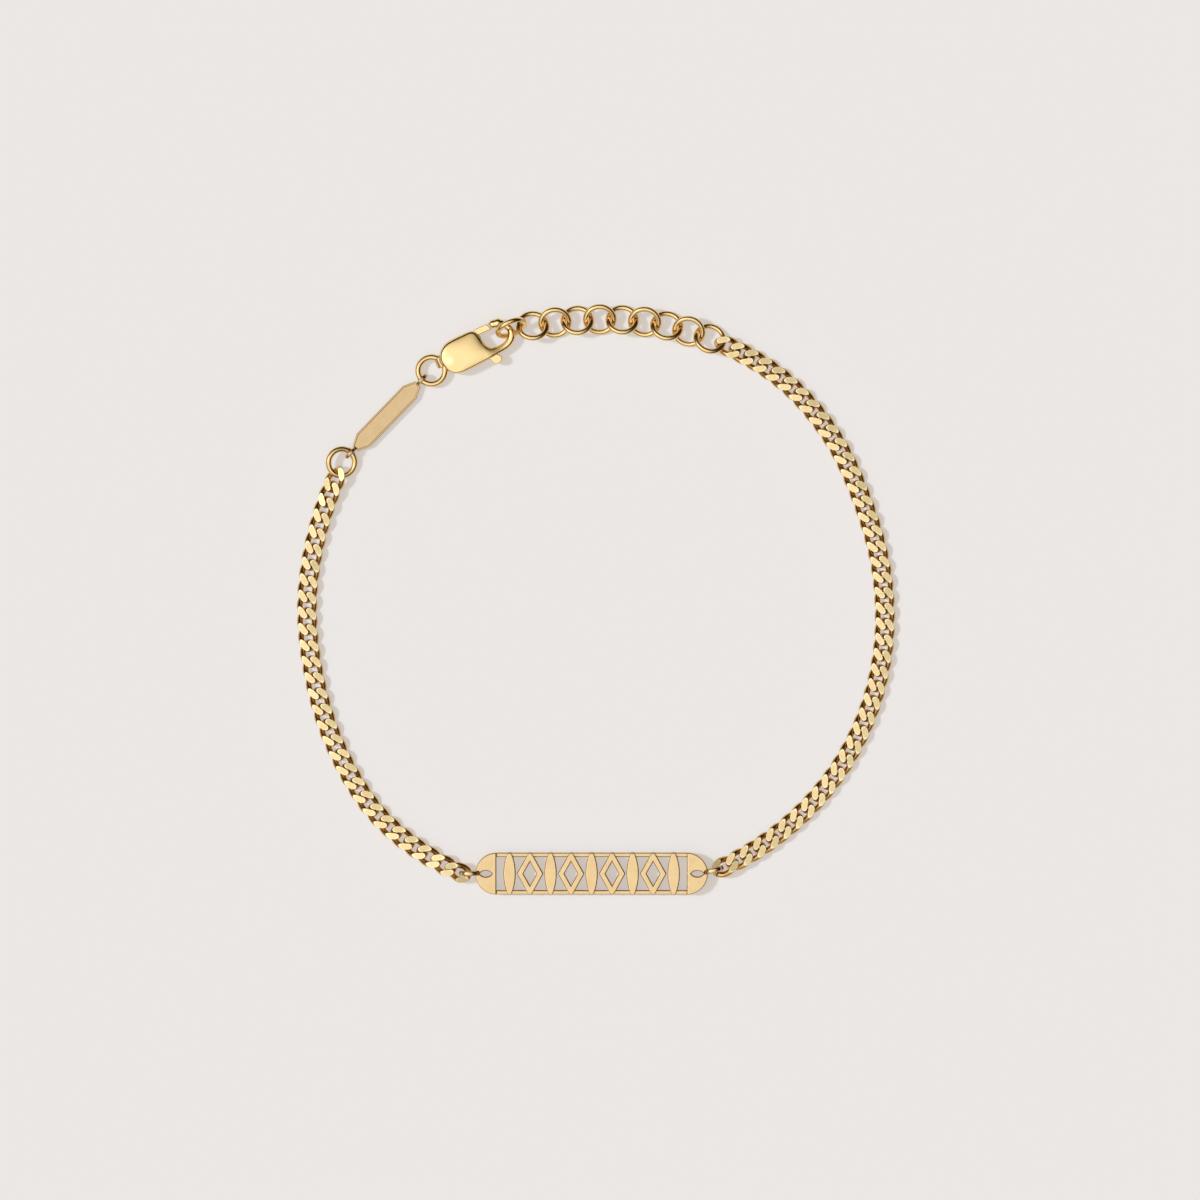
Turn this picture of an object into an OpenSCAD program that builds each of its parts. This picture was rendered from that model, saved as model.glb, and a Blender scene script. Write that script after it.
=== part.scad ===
// A yellow gold nameplate bracelet, fastened, lying flat as a closed loop.
// X runs to the right along the nameplate, Y away from it towards the clasp, and Z up
// from the surface that the bracelet lies on. The origin is at the middle of the loop.

/* [Curb chain] */
// Links in the left chain, from the ring behind the tag to the nameplate
curb_links_left = 29; // [29:1:29]
// Links in the right chain, from the nameplate to the round links
curb_links_right = 42; // [42:1:42]
// Length of the wire's centre line in one curb link
curb_long = 2.36; // [2.35:0.005:2.37]
// Width of the untwisted link between wire centres
curb_wide = 1.52; // [1.48:0.01:1.54]
// Diameter of the curb wire
curb_wire = 0.58; // [0.52:0.01:0.58]
// Thickness of the chain after its faces are filed flat
curb_thick = 0.86; // [0.8:0.01:0.9]
// Twist of each link's end away from its middle, in degrees
curb_twist = 60; // [55:1:62]
// Squareness of the link's outline, where 1 is an ellipse
curb_square = 0.7; // [0.65:0.05:0.8]

/* [Round links] */
// Outside diameter of a round link
round_od = 3.46; // [3.44:0.01:3.48]
// Diameter of the round links' wire
round_wire = 0.51; // [0.46:0.01:0.52]
// Lean of the round links, to one side and the other in turn, in degrees
round_lean = 29; // [27:1:31]

/* [Rings] */
// Outside diameter of the two plain rings beside the tag
ring_od = 3.29; // [3.27:0.01:3.31]
// Diameter of the plain rings' wire
ring_wire = 0.57; // [0.5:0.01:0.57]

/* [Nameplate] */
// Length of the nameplate without its rings
plate_long = 23.8; // [23.8:0.1:24.2]
// Width of the nameplate
plate_wide = 4.3; // [4.2:0.1:4.4]
// Thickness of the raised ornament
plate_thick = 1.45; // [1.3:0.05:1.6]
// Thickness of the two edge rails
rail_thick = 1.1; // [0.8:0.05:1.2]
// Width of the edge rails
rail_wide = 0.45; // [0.35:0.05:0.5]
// Outside diameter of the ring that stands on each end
plate_ring_od = 2.1; // [2.05:0.01:2.12]
// Diameter of the wire of the nameplate's end rings
plate_ring_wire = 0.4; // [0.36:0.01:0.42]

/* [Tag] */
// Length of the tag without its rings
tag_long = 9.26; // [9.2:0.02:9.3]
// Width of the tag
tag_wide = 1.9; // [1.8:0.05:2]
// Thickness of the tag at its raised border
tag_thick = 0.5; // [0.45:0.05:0.55]
// Outside diameter of the ring that stands on each end of the tag
tag_ring_od = 1.48; // [1.46:0.01:1.5]
// Diameter of the wire of the tag's end rings
tag_ring_wire = 0.3; // [0.26:0.01:0.3]

/* [Clasp] */
// Thickness of the clasp's domed body
clasp_thick = 2; // [1.9:0.05:2.1]
// Diameter of the hook's wire
hook_wire = 0.62; // [0.58:0.01:0.64]
// Thickness of the lever
lever_thick = 0.7; // [0.6:0.05:0.7]
// Clearance between the lever and the slot that it turns in
lever_gap = 0.1; // [0.08:0.01:0.12]

/* [Hidden] */

gold = [0.86, 0.68, 0.36];
bright_gold = [0.92, 0.77, 0.45];
tag_gold = [0.86, 0.66, 0.42];

$fn = 48;
eps = 0.01;

// Where the line of the chain runs: its distance from the middle of the loop at each angle,
// in columns [angle, radius]. Angles are counted anticlockwise from +X, 15 degrees apart.
RIGHT_RUN = [
    [110, 28.90], [95, 28.60], [80, 28.75], [65, 29.00], [50, 29.30], [35, 29.10], [20, 28.80],
    [5, 29.10], [-10, 29.55], [-25, 29.95], [-40, 30.20], [-55, 30.25], [-70, 30.25]
];
LEFT_RUN = [
    [150, 29.65], [165, 29.62], [180, 29.88], [195, 30.22], [210, 30.93], [225, 31.66],
    [240, 31.50], [255, 30.90]
];
// The middle of the loop that those angles are counted about
loop_mid = [0.3, 0.05];
knot_step = 15;
walk_step = 1;

// How the links nearest to a ring turn and rise to meet it, in columns [roll, lift], the
// nearest link first, in degrees and millimetres
TO_ROUND_LINK = [[12, 0.37], [9, 0.13], [4.5, 0.05]];
TO_JUMP_RING = [[28, 0.326], [18.4, 0.233], [10.2, 0.13], [3.3, 0.048]];
TO_PLATE_RING = [[33, 0.5], [25, 0.39], [17, 0.29], [10, 0.185], [4, 0.095], [1, 0.045]];

// Ends of each run of links, as angles on its line
right_first = 62.97;
right_last = -64.75;
left_first = 155.57;
left_last = 242.6;

// Round links, by the angle of each one's middle
round_first = 103.39;
round_last = 66.93;
round_count = 9;
// How far the first and last of them dip forwards and rise to meet their neighbours
first_round_dip = 7.5;
first_round_lift = 0.173;
last_round_dip = 3.6;

plate_at = [-0.45, -28.05];
plate_ring_reach = 0.5;
plate_ring_left_turn = 180.5;
plate_ring_right_turn = 16;
plate_ring_left_rise = 0.05;
plate_ring_right_rise = 0.2;

tag_at = [-21.47, 18.76];
tag_turn = 45.9;
tag_rest = 0.2;
tag_ring_at = 5.2;
tag_shoulder = 3.2;
tag_tip = 0.5;
tag_least_tip = 0.05;
tag_border = 0.22;
tag_sink = 0.12;
tag_to_ring = 6.57;

// The ring behind the tag: heading of the chain there, lean to one side, dip and height
chain_ring_turn = 245;
chain_ring_lean = -17.6;
chain_ring_dip = 0.7;
chain_ring_z = 0.855;

clasp_at = [-15.9, 24.28];
clasp_turn = 24.5;
clasp_mid = clasp_thick / 2;

// Hooked link, in the clasp's own frame
hooked_at = [8.145, 0.118, 1.581];
hooked_lean = 64.3;
hooked_dip = 2.2;

// Discs that the clasp's body and its neck are stretched over, in the clasp's own frame, in
// columns [x, y, radius, share of the clasp's thickness, thickness at the rim]
BODY_DOMES = [
    [1.62, 0, 1.62, 0.85, 0.5], [2.6, 0, 1.8, 1, 0.7], [3.8, 0.8, 0.88, 0.9, 0.84],
    [3.9, -0.95, 0.85, 0.95, 0.96]
];
NECK_DOMES = [[4.2, -0.9, 0.8, 0.9, 0.96], [6.1, -1.15, 0.33, 0.6, 0.76]];
// Section of such a disc above its rim, as shares of its radius and of half its thickness
DOME_PROFILE = [[0, 1], [0.5, 0.92], [0.84, 0.72]];
// The hook's bend, and the balls that its swollen tip is stretched over, in columns [x, y, radius]
hook_centre = [6.72, -0.02];
hook_bend_r = 1.2;
hook_first = -118;
hook_sweep = 190;
HOOK_TIP = [[6.5, 1.27, 0.36], [6.95, 1.13, 0.38], [7.35, 0.98, 0.31]];

// The lever's pin, hub, gate, arm and thumb piece, in the clasp's own frame
pin_at = [4.2, 0.6];
pin_r = 0.22;
pin_bore_r = 0.32;
hub_r = 0.6;
gate_root = [4.35, 1.05];
gate_x = 4.5;
gate_y = 1.25;
gate_reach = 1.92;
gate_wide = 0.58;
arm_knee = [4.45, -0.6];
arm_wide = 0.6;
thumb_root = [5.15, -1.75];
thumb_end = [5.38, -2.2];
thumb_wide = 0.8;
// Room that the slot gives them: radius about the hub, and wedges between two angles about the pin
hub_room_r = 0.95;
arm_room = [-124, -48];
arm_room_r = 4.2;
gate_room = [-38, 98];

// The ring through the clasp's eye, in the clasp's own frame
eye_ring_at = [-1.21, -0.37];
eye_height = 0.74;
eye_gap = 0.12;
eye_wide = 1.05;
eye_od = 1.44;

curb_z = curb_thick / 2;
round_r = (round_od - round_wire) / 2;
ring_r = (ring_od - ring_wire) / 2;
plate_ring_r = (plate_ring_od - plate_ring_wire) / 2;
tag_ring_r = (tag_ring_od - tag_ring_wire) / 2;
round_z = round_r * sin(round_lean) + round_wire / 2 + 0.01;
tag_ring_z = tag_ring_od / 2;

// Radius of a run at an angle: a smooth curve through the rows of its table
function run_radius(run, angle) =
    let (at = abs(angle - run[0][0]) / knot_step,
         i = min(floor(at), len(run) - 2),
         f = at - i,
         p0 = run[max(i - 1, 0)][1],
         p1 = run[i][1],
         p2 = run[i + 1][1],
         p3 = run[min(i + 2, len(run) - 1)][1])
    p1 + f * ((p2 - p0) / 2 + f * (p0 - 2.5 * p1 + 2 * p2 - p3 / 2
    + f * (1.5 * (p1 - p2) + (p3 - p0) / 2)));

function run_point(run, angle) = loop_mid + run_radius(run, angle) * [cos(angle), sin(angle)];

// Table of [distance walked, angle] along a run from one angle to another
function run_walk(run, from, to) =
    let (n = ceil(abs(to - from) / walk_step), step = (to - from) / n)
    [for (k = 0, a = from, s = 0;
          k <= n;
          s = s + norm(run_point(run, a + step) - run_point(run, a)), a = a + step, k = k + 1)
        [s, a]];

// Angles of count links, equally far apart along a run
function link_angles(run, from, to, count) =
    let (walk = run_walk(run, from, to), whole = walk[len(walk) - 1][0])
    [for (i = [0 : count - 1]) lookup(whole * i / (count - 1), walk)];

// Heading of the run at an angle, the way that it is walked
function run_heading(run, angle, way) =
    let (d = run_point(run, angle + way / 2) - run_point(run, angle - way / 2))
    atan2(d[1], d[0]);

function signed_power(v, p) = sign(v) * pow(abs(v), p);

// Centre line of one curb link: a squared oval, twisted about its length
function curb_centre(t) =
    let (u = signed_power(cos(t), curb_square),
         v = curb_wide / 2 * signed_power(sin(t), curb_square))
    [curb_long / 2 * u, v * cos(curb_twist * u), -v * sin(curb_twist * u)];

function unit(v) = v / norm(v);

// One section of the curb wire, with whatever stands past the filed faces cut to them
function curb_section(t, sides) =
    let (c = curb_centre(t),
         along = unit(curb_centre(t + 2) - curb_centre(t - 2)),
         across = unit(cross(along, [0, 0, 1])),
         up = cross(across, along))
    [for (k = [0 : sides - 1])
        let (a = 90 + 360 * k / sides, p = c + curb_wire / 2 * (cos(a) * across + sin(a) * up))
        [p[0], p[1], max(-curb_z, min(curb_z, p[2]))]];

curb_stations = 16;
curb_sides = 6;

module curb_link() {
    points = [for (j = [0 : curb_stations - 1])
        each curb_section(360 * j / curb_stations, curb_sides)];
    faces = [for (j = [0 : curb_stations - 1], k = [0 : curb_sides - 1])
        let (j2 = (j + 1) % curb_stations,
             k2 = (k + 1) % curb_sides,
             a = j * curb_sides + k,
             b = j * curb_sides + k2,
             c = j2 * curb_sides + k2,
             d = j2 * curb_sides + k)
        each [[a, b, c], [a, c, d]]];
    polyhedron(points, faces);
}

// Value in a column of an end table for the link that is i places from its ring
function end_value(table, i, column) = i >= 0 && i < len(table) ? table[i][column] : 0;

// A run of curb links lying flat along the line of the chain, turned at both ends
module curb_run(run, from, to, count, first_table, last_table) {
    way = sign(to - from);
    angles = link_angles(run, from, to, count);
    lift = [for (i = [0 : count - 1])
        end_value(first_table, i, 1) + end_value(last_table, count - 1 - i, 1)];
    step = norm(run_point(run, angles[1]) - run_point(run, angles[0]));
    for (i = [0 : count - 1]) {
        p = run_point(run, angles[i]);
        roll = end_value(first_table, i, 0) + end_value(last_table, count - 1 - i, 0);
        before = max(i - 1, 0);
        after = min(i + 1, count - 1);
        climb = lift[i] > 0 ? atan2(lift[after] - lift[before], step * (after - before)) : 0;
        translate([p[0], p[1], curb_z + lift[i]])
        rotate([roll, -climb, run_heading(run, angles[i], way)])
        curb_link();
    }
}

module wire_ring(r, wire) {
    rotate_extrude($fn = 64) translate([r, 0]) circle(d = wire, $fn = 24);
}

module curb_chain_left() {
    color(gold)
    curb_run(LEFT_RUN, left_first, left_last, curb_links_left, TO_JUMP_RING, TO_PLATE_RING);
}

module curb_chain_right() {
    color(gold)
    curb_run(RIGHT_RUN, right_first, right_last, curb_links_right, TO_ROUND_LINK, TO_PLATE_RING);
}

module extender_chain() {
    angles = link_angles(RIGHT_RUN, round_first, round_last, round_count);
    color(bright_gold)
    for (i = [0 : round_count - 1]) {
        p = run_point(RIGHT_RUN, angles[i]);
        lean = i % 2 == 0 ? -round_lean : round_lean;
        dip = i == 0 ? first_round_dip : i == round_count - 1 ? last_round_dip : 0;
        lift = i == 0 ? first_round_lift : 0;
        translate([p[0], p[1], round_z + lift])
        rotate(run_heading(RIGHT_RUN, angles[i], -1))
        rotate([0, dip, 0])
        rotate([lean, 0, 0])
        wire_ring(round_r, round_wire);
    }
}

module in_clasp() {
    translate([clasp_at[0], clasp_at[1], 0]) rotate(clasp_turn) children();
}

module hooked_link() {
    color(bright_gold)
    in_clasp()
    translate(hooked_at)
    rotate([0, hooked_dip, 0])
    rotate([hooked_lean, 0, 0])
    wire_ring(round_r, round_wire);
}

// A flat disc with a domed top and bottom, from one row of a dome table
module dome(row) {
    r = row[2];
    thick = row[3] * clasp_thick / 2;
    upper = [for (p = DOME_PROFILE) [p[0] * r, p[1] * thick]];
    rim = [r, row[4] / 2];
    half = [each upper, rim];
    translate([row[0], row[1], clasp_mid])
    rotate_extrude($fn = 28)
    polygon([each half, for (i = [len(half) - 1 : -1 : 0]) [half[i][0], -half[i][1]]]);
}

module clasp_shell() {
    for (table = [BODY_DOMES, NECK_DOMES])
        hull()
        for (row = table) dome(row);
}

module clasp_hook() {
    translate([hook_centre[0], hook_centre[1], clasp_mid])
    rotate(hook_first)
    rotate_extrude(angle = hook_sweep, $fn = 64)
    translate([hook_bend_r, 0])
    circle(d = hook_wire, $fn = 24);
    hull()
    for (ball = HOOK_TIP)
        translate([ball[0], ball[1], clasp_mid])
        sphere(r = ball[2], $fn = 20);
}

// A flat wedge of the slot, from one angle to another about the pin
module slot_wedge(from, to, r) {
    polygon([[0, 0], for (i = [0 : 8]) let (a = from + (to - from) * i / 8) r * [cos(a), sin(a)]]);
}

// Room for the lever over its whole travel
module clasp_slot() {
    translate([pin_at[0], pin_at[1], clasp_mid - lever_thick / 2 - lever_gap])
    linear_extrude(lever_thick + 2 * lever_gap) {
        circle(r = hub_room_r);
        slot_wedge(arm_room[0], arm_room[1], arm_room_r);
        slot_wedge(gate_room[0], gate_room[1], gate_reach + lever_gap);
    }
}

module clasp_eye() {
    translate([eye_ring_at[0] + ring_r, 0, eye_height])
    rotate([90, 0, 0])
    cylinder(d = eye_od, h = eye_wide, center = true);
}

module clasp_body() {
    color(gold)
    in_clasp() {
        difference() {
            union() {
                clasp_shell();
                clasp_hook();
                clasp_eye();
            }
            clasp_slot();
            translate([eye_ring_at[0], eye_ring_at[1], eye_height])
            wire_ring(ring_r, ring_wire + 2 * eye_gap);
        }
        translate([pin_at[0], pin_at[1], clasp_mid])
        cylinder(r = pin_r, h = lever_thick + 4 * lever_gap, center = true);
    }
}

// A flat bar with round ends between two points
module bar(a, b, wide) {
    along = b - a;
    translate(a) circle(d = wide);
    translate(b) circle(d = wide);
    translate(a)
    rotate(atan2(along[1], along[0]))
    translate([0, -wide / 2])
    square([norm(along), wide]);
}

module clasp_lever() {
    color(bright_gold)
    in_clasp()
    translate([0, 0, clasp_mid - lever_thick / 2])
    difference() {
        linear_extrude(lever_thick) {
            translate(pin_at) circle(r = hub_r);
            bar(gate_root, [gate_x, gate_y], gate_wide);
            intersection() {
                translate([gate_x, gate_y - gate_wide / 2]) square([gate_reach, gate_wide]);
                translate(pin_at) circle(r = gate_reach);
            }
            bar(pin_at, arm_knee, arm_wide);
            bar(arm_knee, thumb_root, arm_wide);
            bar(thumb_root, thumb_end, thumb_wide);
        }
        translate([pin_at[0], pin_at[1], -eps]) cylinder(r = pin_bore_r, h = lever_thick + 2 * eps);
    }
}

module jump_ring_clasp() {
    color(gold)
    in_clasp() translate([eye_ring_at[0], eye_ring_at[1], eye_height]) wire_ring(ring_r, ring_wire);
}

module jump_ring_chain() {
    at = tag_at - tag_to_ring * [cos(tag_turn), sin(tag_turn)];
    color(gold)
    translate([at[0], at[1], chain_ring_z])
    rotate([chain_ring_lean, chain_ring_dip, chain_ring_turn])
    wire_ring(ring_r, ring_wire);
}

// The long tag with pointed ends, drawn in by the same inset along all its sides
module tag_outline(inset) {
    half = tag_wide / 2;
    slope = atan2(half - tag_tip / 2, tag_long / 2 - tag_shoulder);
    shoulder = tag_shoulder - inset * tan(slope / 2);
    drawn = inset / cos(slope);
    long = tag_long / 2 - inset;
    tip = max(tag_tip / 2 + inset * tan(slope) - drawn, tag_least_tip);
    wide = half - inset;
    polygon([[-long, -tip], [-shoulder, -wide], [shoulder, -wide], [long, -tip],
             [long, tip], [shoulder, wide], [-shoulder, wide], [-long, tip]]);
}

module tag() {
    color(tag_gold)
    translate([tag_at[0], tag_at[1], 0])
    rotate(tag_turn) {
        difference() {
            translate([0, 0, tag_rest]) linear_extrude(tag_thick) tag_outline(0);
            translate([0, 0, tag_rest + tag_thick - tag_sink])
            linear_extrude(tag_thick) tag_outline(tag_border);
        }
        for (side = [-1, 1])
            translate([side * tag_ring_at, 0, tag_ring_z])
            rotate([90, 0, 0])
            wire_ring(tag_ring_r, tag_ring_wire);
    }
}

// Ornament of the nameplate: leaves and open lozenges in turn, between rounded ends. Leaves
// and lozenges run a little past the plate's edges and are cut there.
motif_step = 2.1;
leaf_wide = 1.25;
leaf_past = 0.45;
lozenge_half = 1.36;
lozenge_past = 0.3;
// Width of the lozenge's strip, measured along its short and its long diagonal
lozenge_strip = [0.68, 1.24];
// Length and width of the leaf that is cut from each rounded end, and where it is cut, as a
// share of the end's radius
end_leaf = [1.3, 0.62];
end_leaf_at = 0.5;

module leaf(long, wide) {
    r = (long * long + wide * wide) / (4 * wide);
    intersection() {
        translate([r - wide / 2, 0]) circle(r = r, $fn = 96);
        translate([wide / 2 - r, 0]) circle(r = r, $fn = 96);
    }
}

module lozenge(a, b) {
    polygon([[-a, 0], [0, -b], [a, 0], [0, b]]);
}

module plate_end() {
    r = plate_wide / 2;
    difference() {
        intersection() {
            circle(r = r);
            translate([0, -r]) square([r, 2 * r]);
        }
        translate([r * end_leaf_at, 0]) rotate(90) leaf(end_leaf[0], end_leaf[1]);
    }
}

module plate_ornament() {
    half = plate_wide / 2;
    tall = half + lozenge_past;
    for (i = [-4 : 2 : 4])
        translate([i * motif_step, 0])
        leaf(plate_wide + 2 * leaf_past, leaf_wide);
    for (i = [-3 : 2 : 3])
        translate([i * motif_step, 0])
        difference() {
            lozenge(lozenge_half, tall);
            lozenge(lozenge_half - lozenge_strip[0], tall - lozenge_strip[1]);
        }
}

module nameplate() {
    half = plate_wide / 2;
    ends = plate_long / 2 - half;
    color(bright_gold)
    translate([plate_at[0], plate_at[1], 0]) {
        linear_extrude(plate_thick) {
            intersection() {
                plate_ornament();
                square([plate_long, plate_wide], center = true);
            }
            translate([ends, 0]) plate_end();
            translate([-ends, 0]) mirror([1, 0]) plate_end();
        }
        for (side = [-1, 1])
            translate([-ends - eps, side * (half - rail_wide / 2) - rail_wide / 2, 0])
            cube([2 * ends + 2 * eps, rail_wide, rail_thick]);
        translate([-plate_long / 2, plate_ring_left_rise, plate_ring_od / 2])
        rotate(plate_ring_left_turn)
        translate([plate_ring_reach, 0, 0])
        rotate([90, 0, 0])
        wire_ring(plate_ring_r, plate_ring_wire);
        translate([plate_long / 2, plate_ring_right_rise, plate_ring_od / 2])
        rotate(plate_ring_right_turn)
        translate([plate_ring_reach, 0, 0])
        rotate([90, 0, 0])
        wire_ring(plate_ring_r, plate_ring_wire);
    }
}

nameplate();
curb_chain_left();
curb_chain_right();
extender_chain();
hooked_link();
clasp_body();
clasp_lever();
jump_ring_clasp();
jump_ring_chain();
tag();
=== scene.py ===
"""Looks of a fastened gold nameplate bracelet that lies flat on a pale studio floor."""

import bpy
import numpy as np
from bpy.props import FloatProperty, FloatVectorProperty, IntProperty, PointerProperty
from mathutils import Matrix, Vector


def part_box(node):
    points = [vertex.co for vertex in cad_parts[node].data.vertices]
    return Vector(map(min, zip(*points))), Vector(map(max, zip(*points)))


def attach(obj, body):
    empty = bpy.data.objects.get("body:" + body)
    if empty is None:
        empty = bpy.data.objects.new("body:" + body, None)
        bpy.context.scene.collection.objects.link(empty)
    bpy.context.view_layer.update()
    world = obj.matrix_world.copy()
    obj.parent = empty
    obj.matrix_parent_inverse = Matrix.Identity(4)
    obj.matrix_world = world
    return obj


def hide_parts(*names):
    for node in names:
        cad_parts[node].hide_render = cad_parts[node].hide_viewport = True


bl_info = {
    "name": "Nameplate bracelet looks",
    "version": (1, 0, 0),
    "blender": (4, 5, 0),
    "location": "3D View > Sidebar > Bracelet",
    "description": "Dresses the nameplate bracelet's solids in polished yellow gold",
    "category": "Object",
}

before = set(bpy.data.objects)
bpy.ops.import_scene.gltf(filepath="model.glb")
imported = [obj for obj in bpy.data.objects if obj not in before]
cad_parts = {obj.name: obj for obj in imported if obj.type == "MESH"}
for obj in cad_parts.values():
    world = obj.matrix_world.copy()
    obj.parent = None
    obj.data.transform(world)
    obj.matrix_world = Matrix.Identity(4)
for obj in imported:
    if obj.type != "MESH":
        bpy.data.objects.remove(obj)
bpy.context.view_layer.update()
MM = 0.001
BODY = "bracelet"
LEVER = "lever"

# Where the line of the chain runs, in columns [angle, distance from the loop's middle in mm]
RIGHT_RUN = np.array([
    [110, 28.90], [95, 28.60], [80, 28.75], [65, 29.00], [50, 29.30], [35, 29.10], [20, 28.80],
    [5, 29.10], [-10, 29.55], [-25, 29.95], [-40, 30.20], [-55, 30.25], [-70, 30.25],
])
LEFT_RUN = np.array([
    [150, 29.65], [165, 29.62], [180, 29.88], [195, 30.22], [210, 30.93], [225, 31.66],
    [240, 31.50], [255, 30.90],
])
LOOP_MID = np.array([0.3, 0.05])
KNOT_STEP = 15

# How the links nearest to a ring turn and rise to meet it, in columns [roll, lift in mm]
TO_ROUND_LINK = [[12, 0.37], [8, 0.13], [0, 0.055]]
TO_JUMP_RING = [[20, 0.3], [8, 0.15], [0, 0.13], [0, 0.048]]
TO_LEFT_PLATE_RING = [[24, 0.5], [15, 0.32], [0, 0.27], [0, 0.185], [0, 0.095], [0, 0.045]]
TO_RIGHT_PLATE_RING = [[12, 0.5], [0, 0.38], [0, 0.27], [0, 0.185], [0, 0.095], [0, 0.045]]

# First and last angle of each run of links
RIGHT_ENDS = (62.97, -64.75)
LEFT_ENDS = (155.57, 242.6)
ROUND_ENDS = (103.65, 66.93)

# The clasp's own frame: its left end and its turn about Z
CLASP_AT = np.array([-15.9, 24.28])
CLASP_TURN = 24.5

# Plan of the clasp's body, anticlockwise from its left end, in the clasp's frame, in mm
CLASP_PLAN = [
    [0.0, 0.1], [0.12, -0.55], [0.42, -1.25], [0.95, -1.7], [1.7, -1.88], [2.9, -1.86], [4.1, -1.8],
    [5.0, -1.72], [5.9, -1.68], [6.6, -1.62], [7.2, -1.46], [7.66, -1.18], [8.0, -0.8], [8.16, -0.4],
    [8.15, 0.05], [7.9, 0.32], [7.6, 0.22], [7.48, -0.15], [7.22, -0.54], [6.8, -0.79], [6.25, -0.88],
    [5.72, -0.88], [5.36, -0.8], [5.08, -0.54], [4.9, -0.1], [4.79, 0.5], [4.64, 1.1], [4.42, 1.48],
    [4.02, 1.67], [3.2, 1.7], [2.2, 1.68], [1.35, 1.58], [0.75, 1.3], [0.24, 0.8],
]
# Ball ends of the hook's tip, in columns [x, y, radius]
HOOK_TIP = [[6.1, 1.5, 0.17], [6.45, 1.36, 0.43], [7.0, 1.22, 0.5], [7.35, 0.98, 0.42]]
# Bars of the lever below its pin, in columns [x from, y from, x to, y to, width]
LEVER_BARS = [
    [4.35, 1.05, 4.5, 1.28, 0.58],
    [4.2, 0.6, 4.45, -0.6, 0.6],
    [4.45, -0.6, 5.2, -1.75, 0.7],
    [5.2, -1.75, 5.32, -2.1, 0.86],
    [5.32, -2.1, 5.47, -2.1, 0.86],
]


def linear(code):
    """Linear colour of an sRGB hex value."""
    srgb = np.array([int(code[i:i + 2], 16) for i in (0, 2, 4)]) / 255
    return [*np.where(srgb <= 0.04045, srgb / 12.92, ((srgb + 0.055) / 1.055) ** 2.4).tolist(), 1.0]


def length(name, description, millimetres):
    """A property that holds a length."""
    return FloatProperty(name=name, description=description, default=millimetres * MM, min=0,
                         unit="LENGTH", precision=5)


def angle(name, description, degrees):
    """A property that holds an angle."""
    return FloatProperty(name=name, description=description, default=np.radians(degrees), subtype="ANGLE")


def colour(name, description, code):
    """A property that holds a colour, given as an sRGB hex value."""
    return FloatVectorProperty(name=name, description=description, default=linear(code), size=4,
                               min=0, max=1, subtype="COLOR")


def number(name, description, default):
    """A property that holds a plain number."""
    return FloatProperty(name=name, description=description, default=default)


def whole(name, description, default):
    """A property that holds a count."""
    return IntProperty(name=name, description=description, default=default)


class CurbProperties(bpy.types.PropertyGroup):
    """Sizes of the two curb chains"""
    links_left: whole("Links left", "Links from the tag to the nameplate", 29)
    links_right: whole("Links right", "Links from the nameplate to the round links", 42)
    long: length("Length", "Length of the wire's centre line in one link", 2.34)
    wide: length("Width", "Width of the untwisted link between wire centres", 1.49)
    wire: length("Wire", "Diameter of the curb wire", 0.63)
    thick: length("Thickness", "Thickness of the chain between its filed faces", 0.86)
    twist: angle("Twist", "Twist of each link's end", 60)
    square: number("Squareness", "Squareness of the link's outline, where 1 is an ellipse", 0.7)
    press: number("Pressing", "Height of the pressed wire, as a share of the round wire's", 0.87)
    slope: angle("Flat slope", "How far each filed flat slopes down outwards", 4)
    uneven: angle("Uneven filing", "How far single flats stray from that slope", 2)
    soft: length("Edge softness", "Height over which a flat's edge is rounded by polishing", 0.014)


class RoundProperties(bpy.types.PropertyGroup):
    """Sizes of the round links and the plain rings"""
    count: whole("Round links", "Round links of the extender", 9)
    outside: length("Diameter", "Outside diameter of a round link", 3.46)
    wire: length("Wire", "Diameter of the round links' wire", 0.55)
    lean: angle("Lean", "Lean of the round links to either side", 28)
    ring_outside: length("Ring diameter", "Outside diameter of the two rings beside the tag", 3.36)
    ring_wire: length("Ring wire", "Diameter of those rings' wire", 0.6)


class PlateProperties(bpy.types.PropertyGroup):
    """Sizes of the nameplate"""
    long: length("Length", "Length of the nameplate without its rings", 23.8)
    wide: length("Width", "Width of the nameplate", 4.3)
    thick: length("Thickness", "Thickness of the raised ornament", 1.45)
    rail_thick: length("Rail thickness", "Thickness of the two edge rails", 1.1)
    rail_wide: length("Rail width", "Width of the edge rails", 0.45)
    ring_outside: length("Ring diameter", "Outside diameter of the standing end rings", 2.2)
    ring_wire: length("Ring wire", "Diameter of the end rings' wire", 0.52)
    round: length("Rounding", "Radius of the rounded upper edges", 0.13)


class TagProperties(bpy.types.PropertyGroup):
    """Sizes of the tag"""
    long: length("Length", "Length of the tag without its rings", 9.26)
    wide: length("Width", "Width of the tag", 1.9)
    thick: length("Thickness", "Thickness of the tag at its raised border", 0.5)
    border: length("Border", "Width of the raised border", 0.2)
    sink: length("Sink", "Depth of the field inside the border", 0.09)
    ring_outside: length("Ring diameter", "Outside diameter of the ring on each end", 1.52)
    ring_wire: length("Ring wire", "Diameter of those rings' wire", 0.38)
    round: length("Rounding", "Radius of the border's rounded edges", 0.07)


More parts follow.
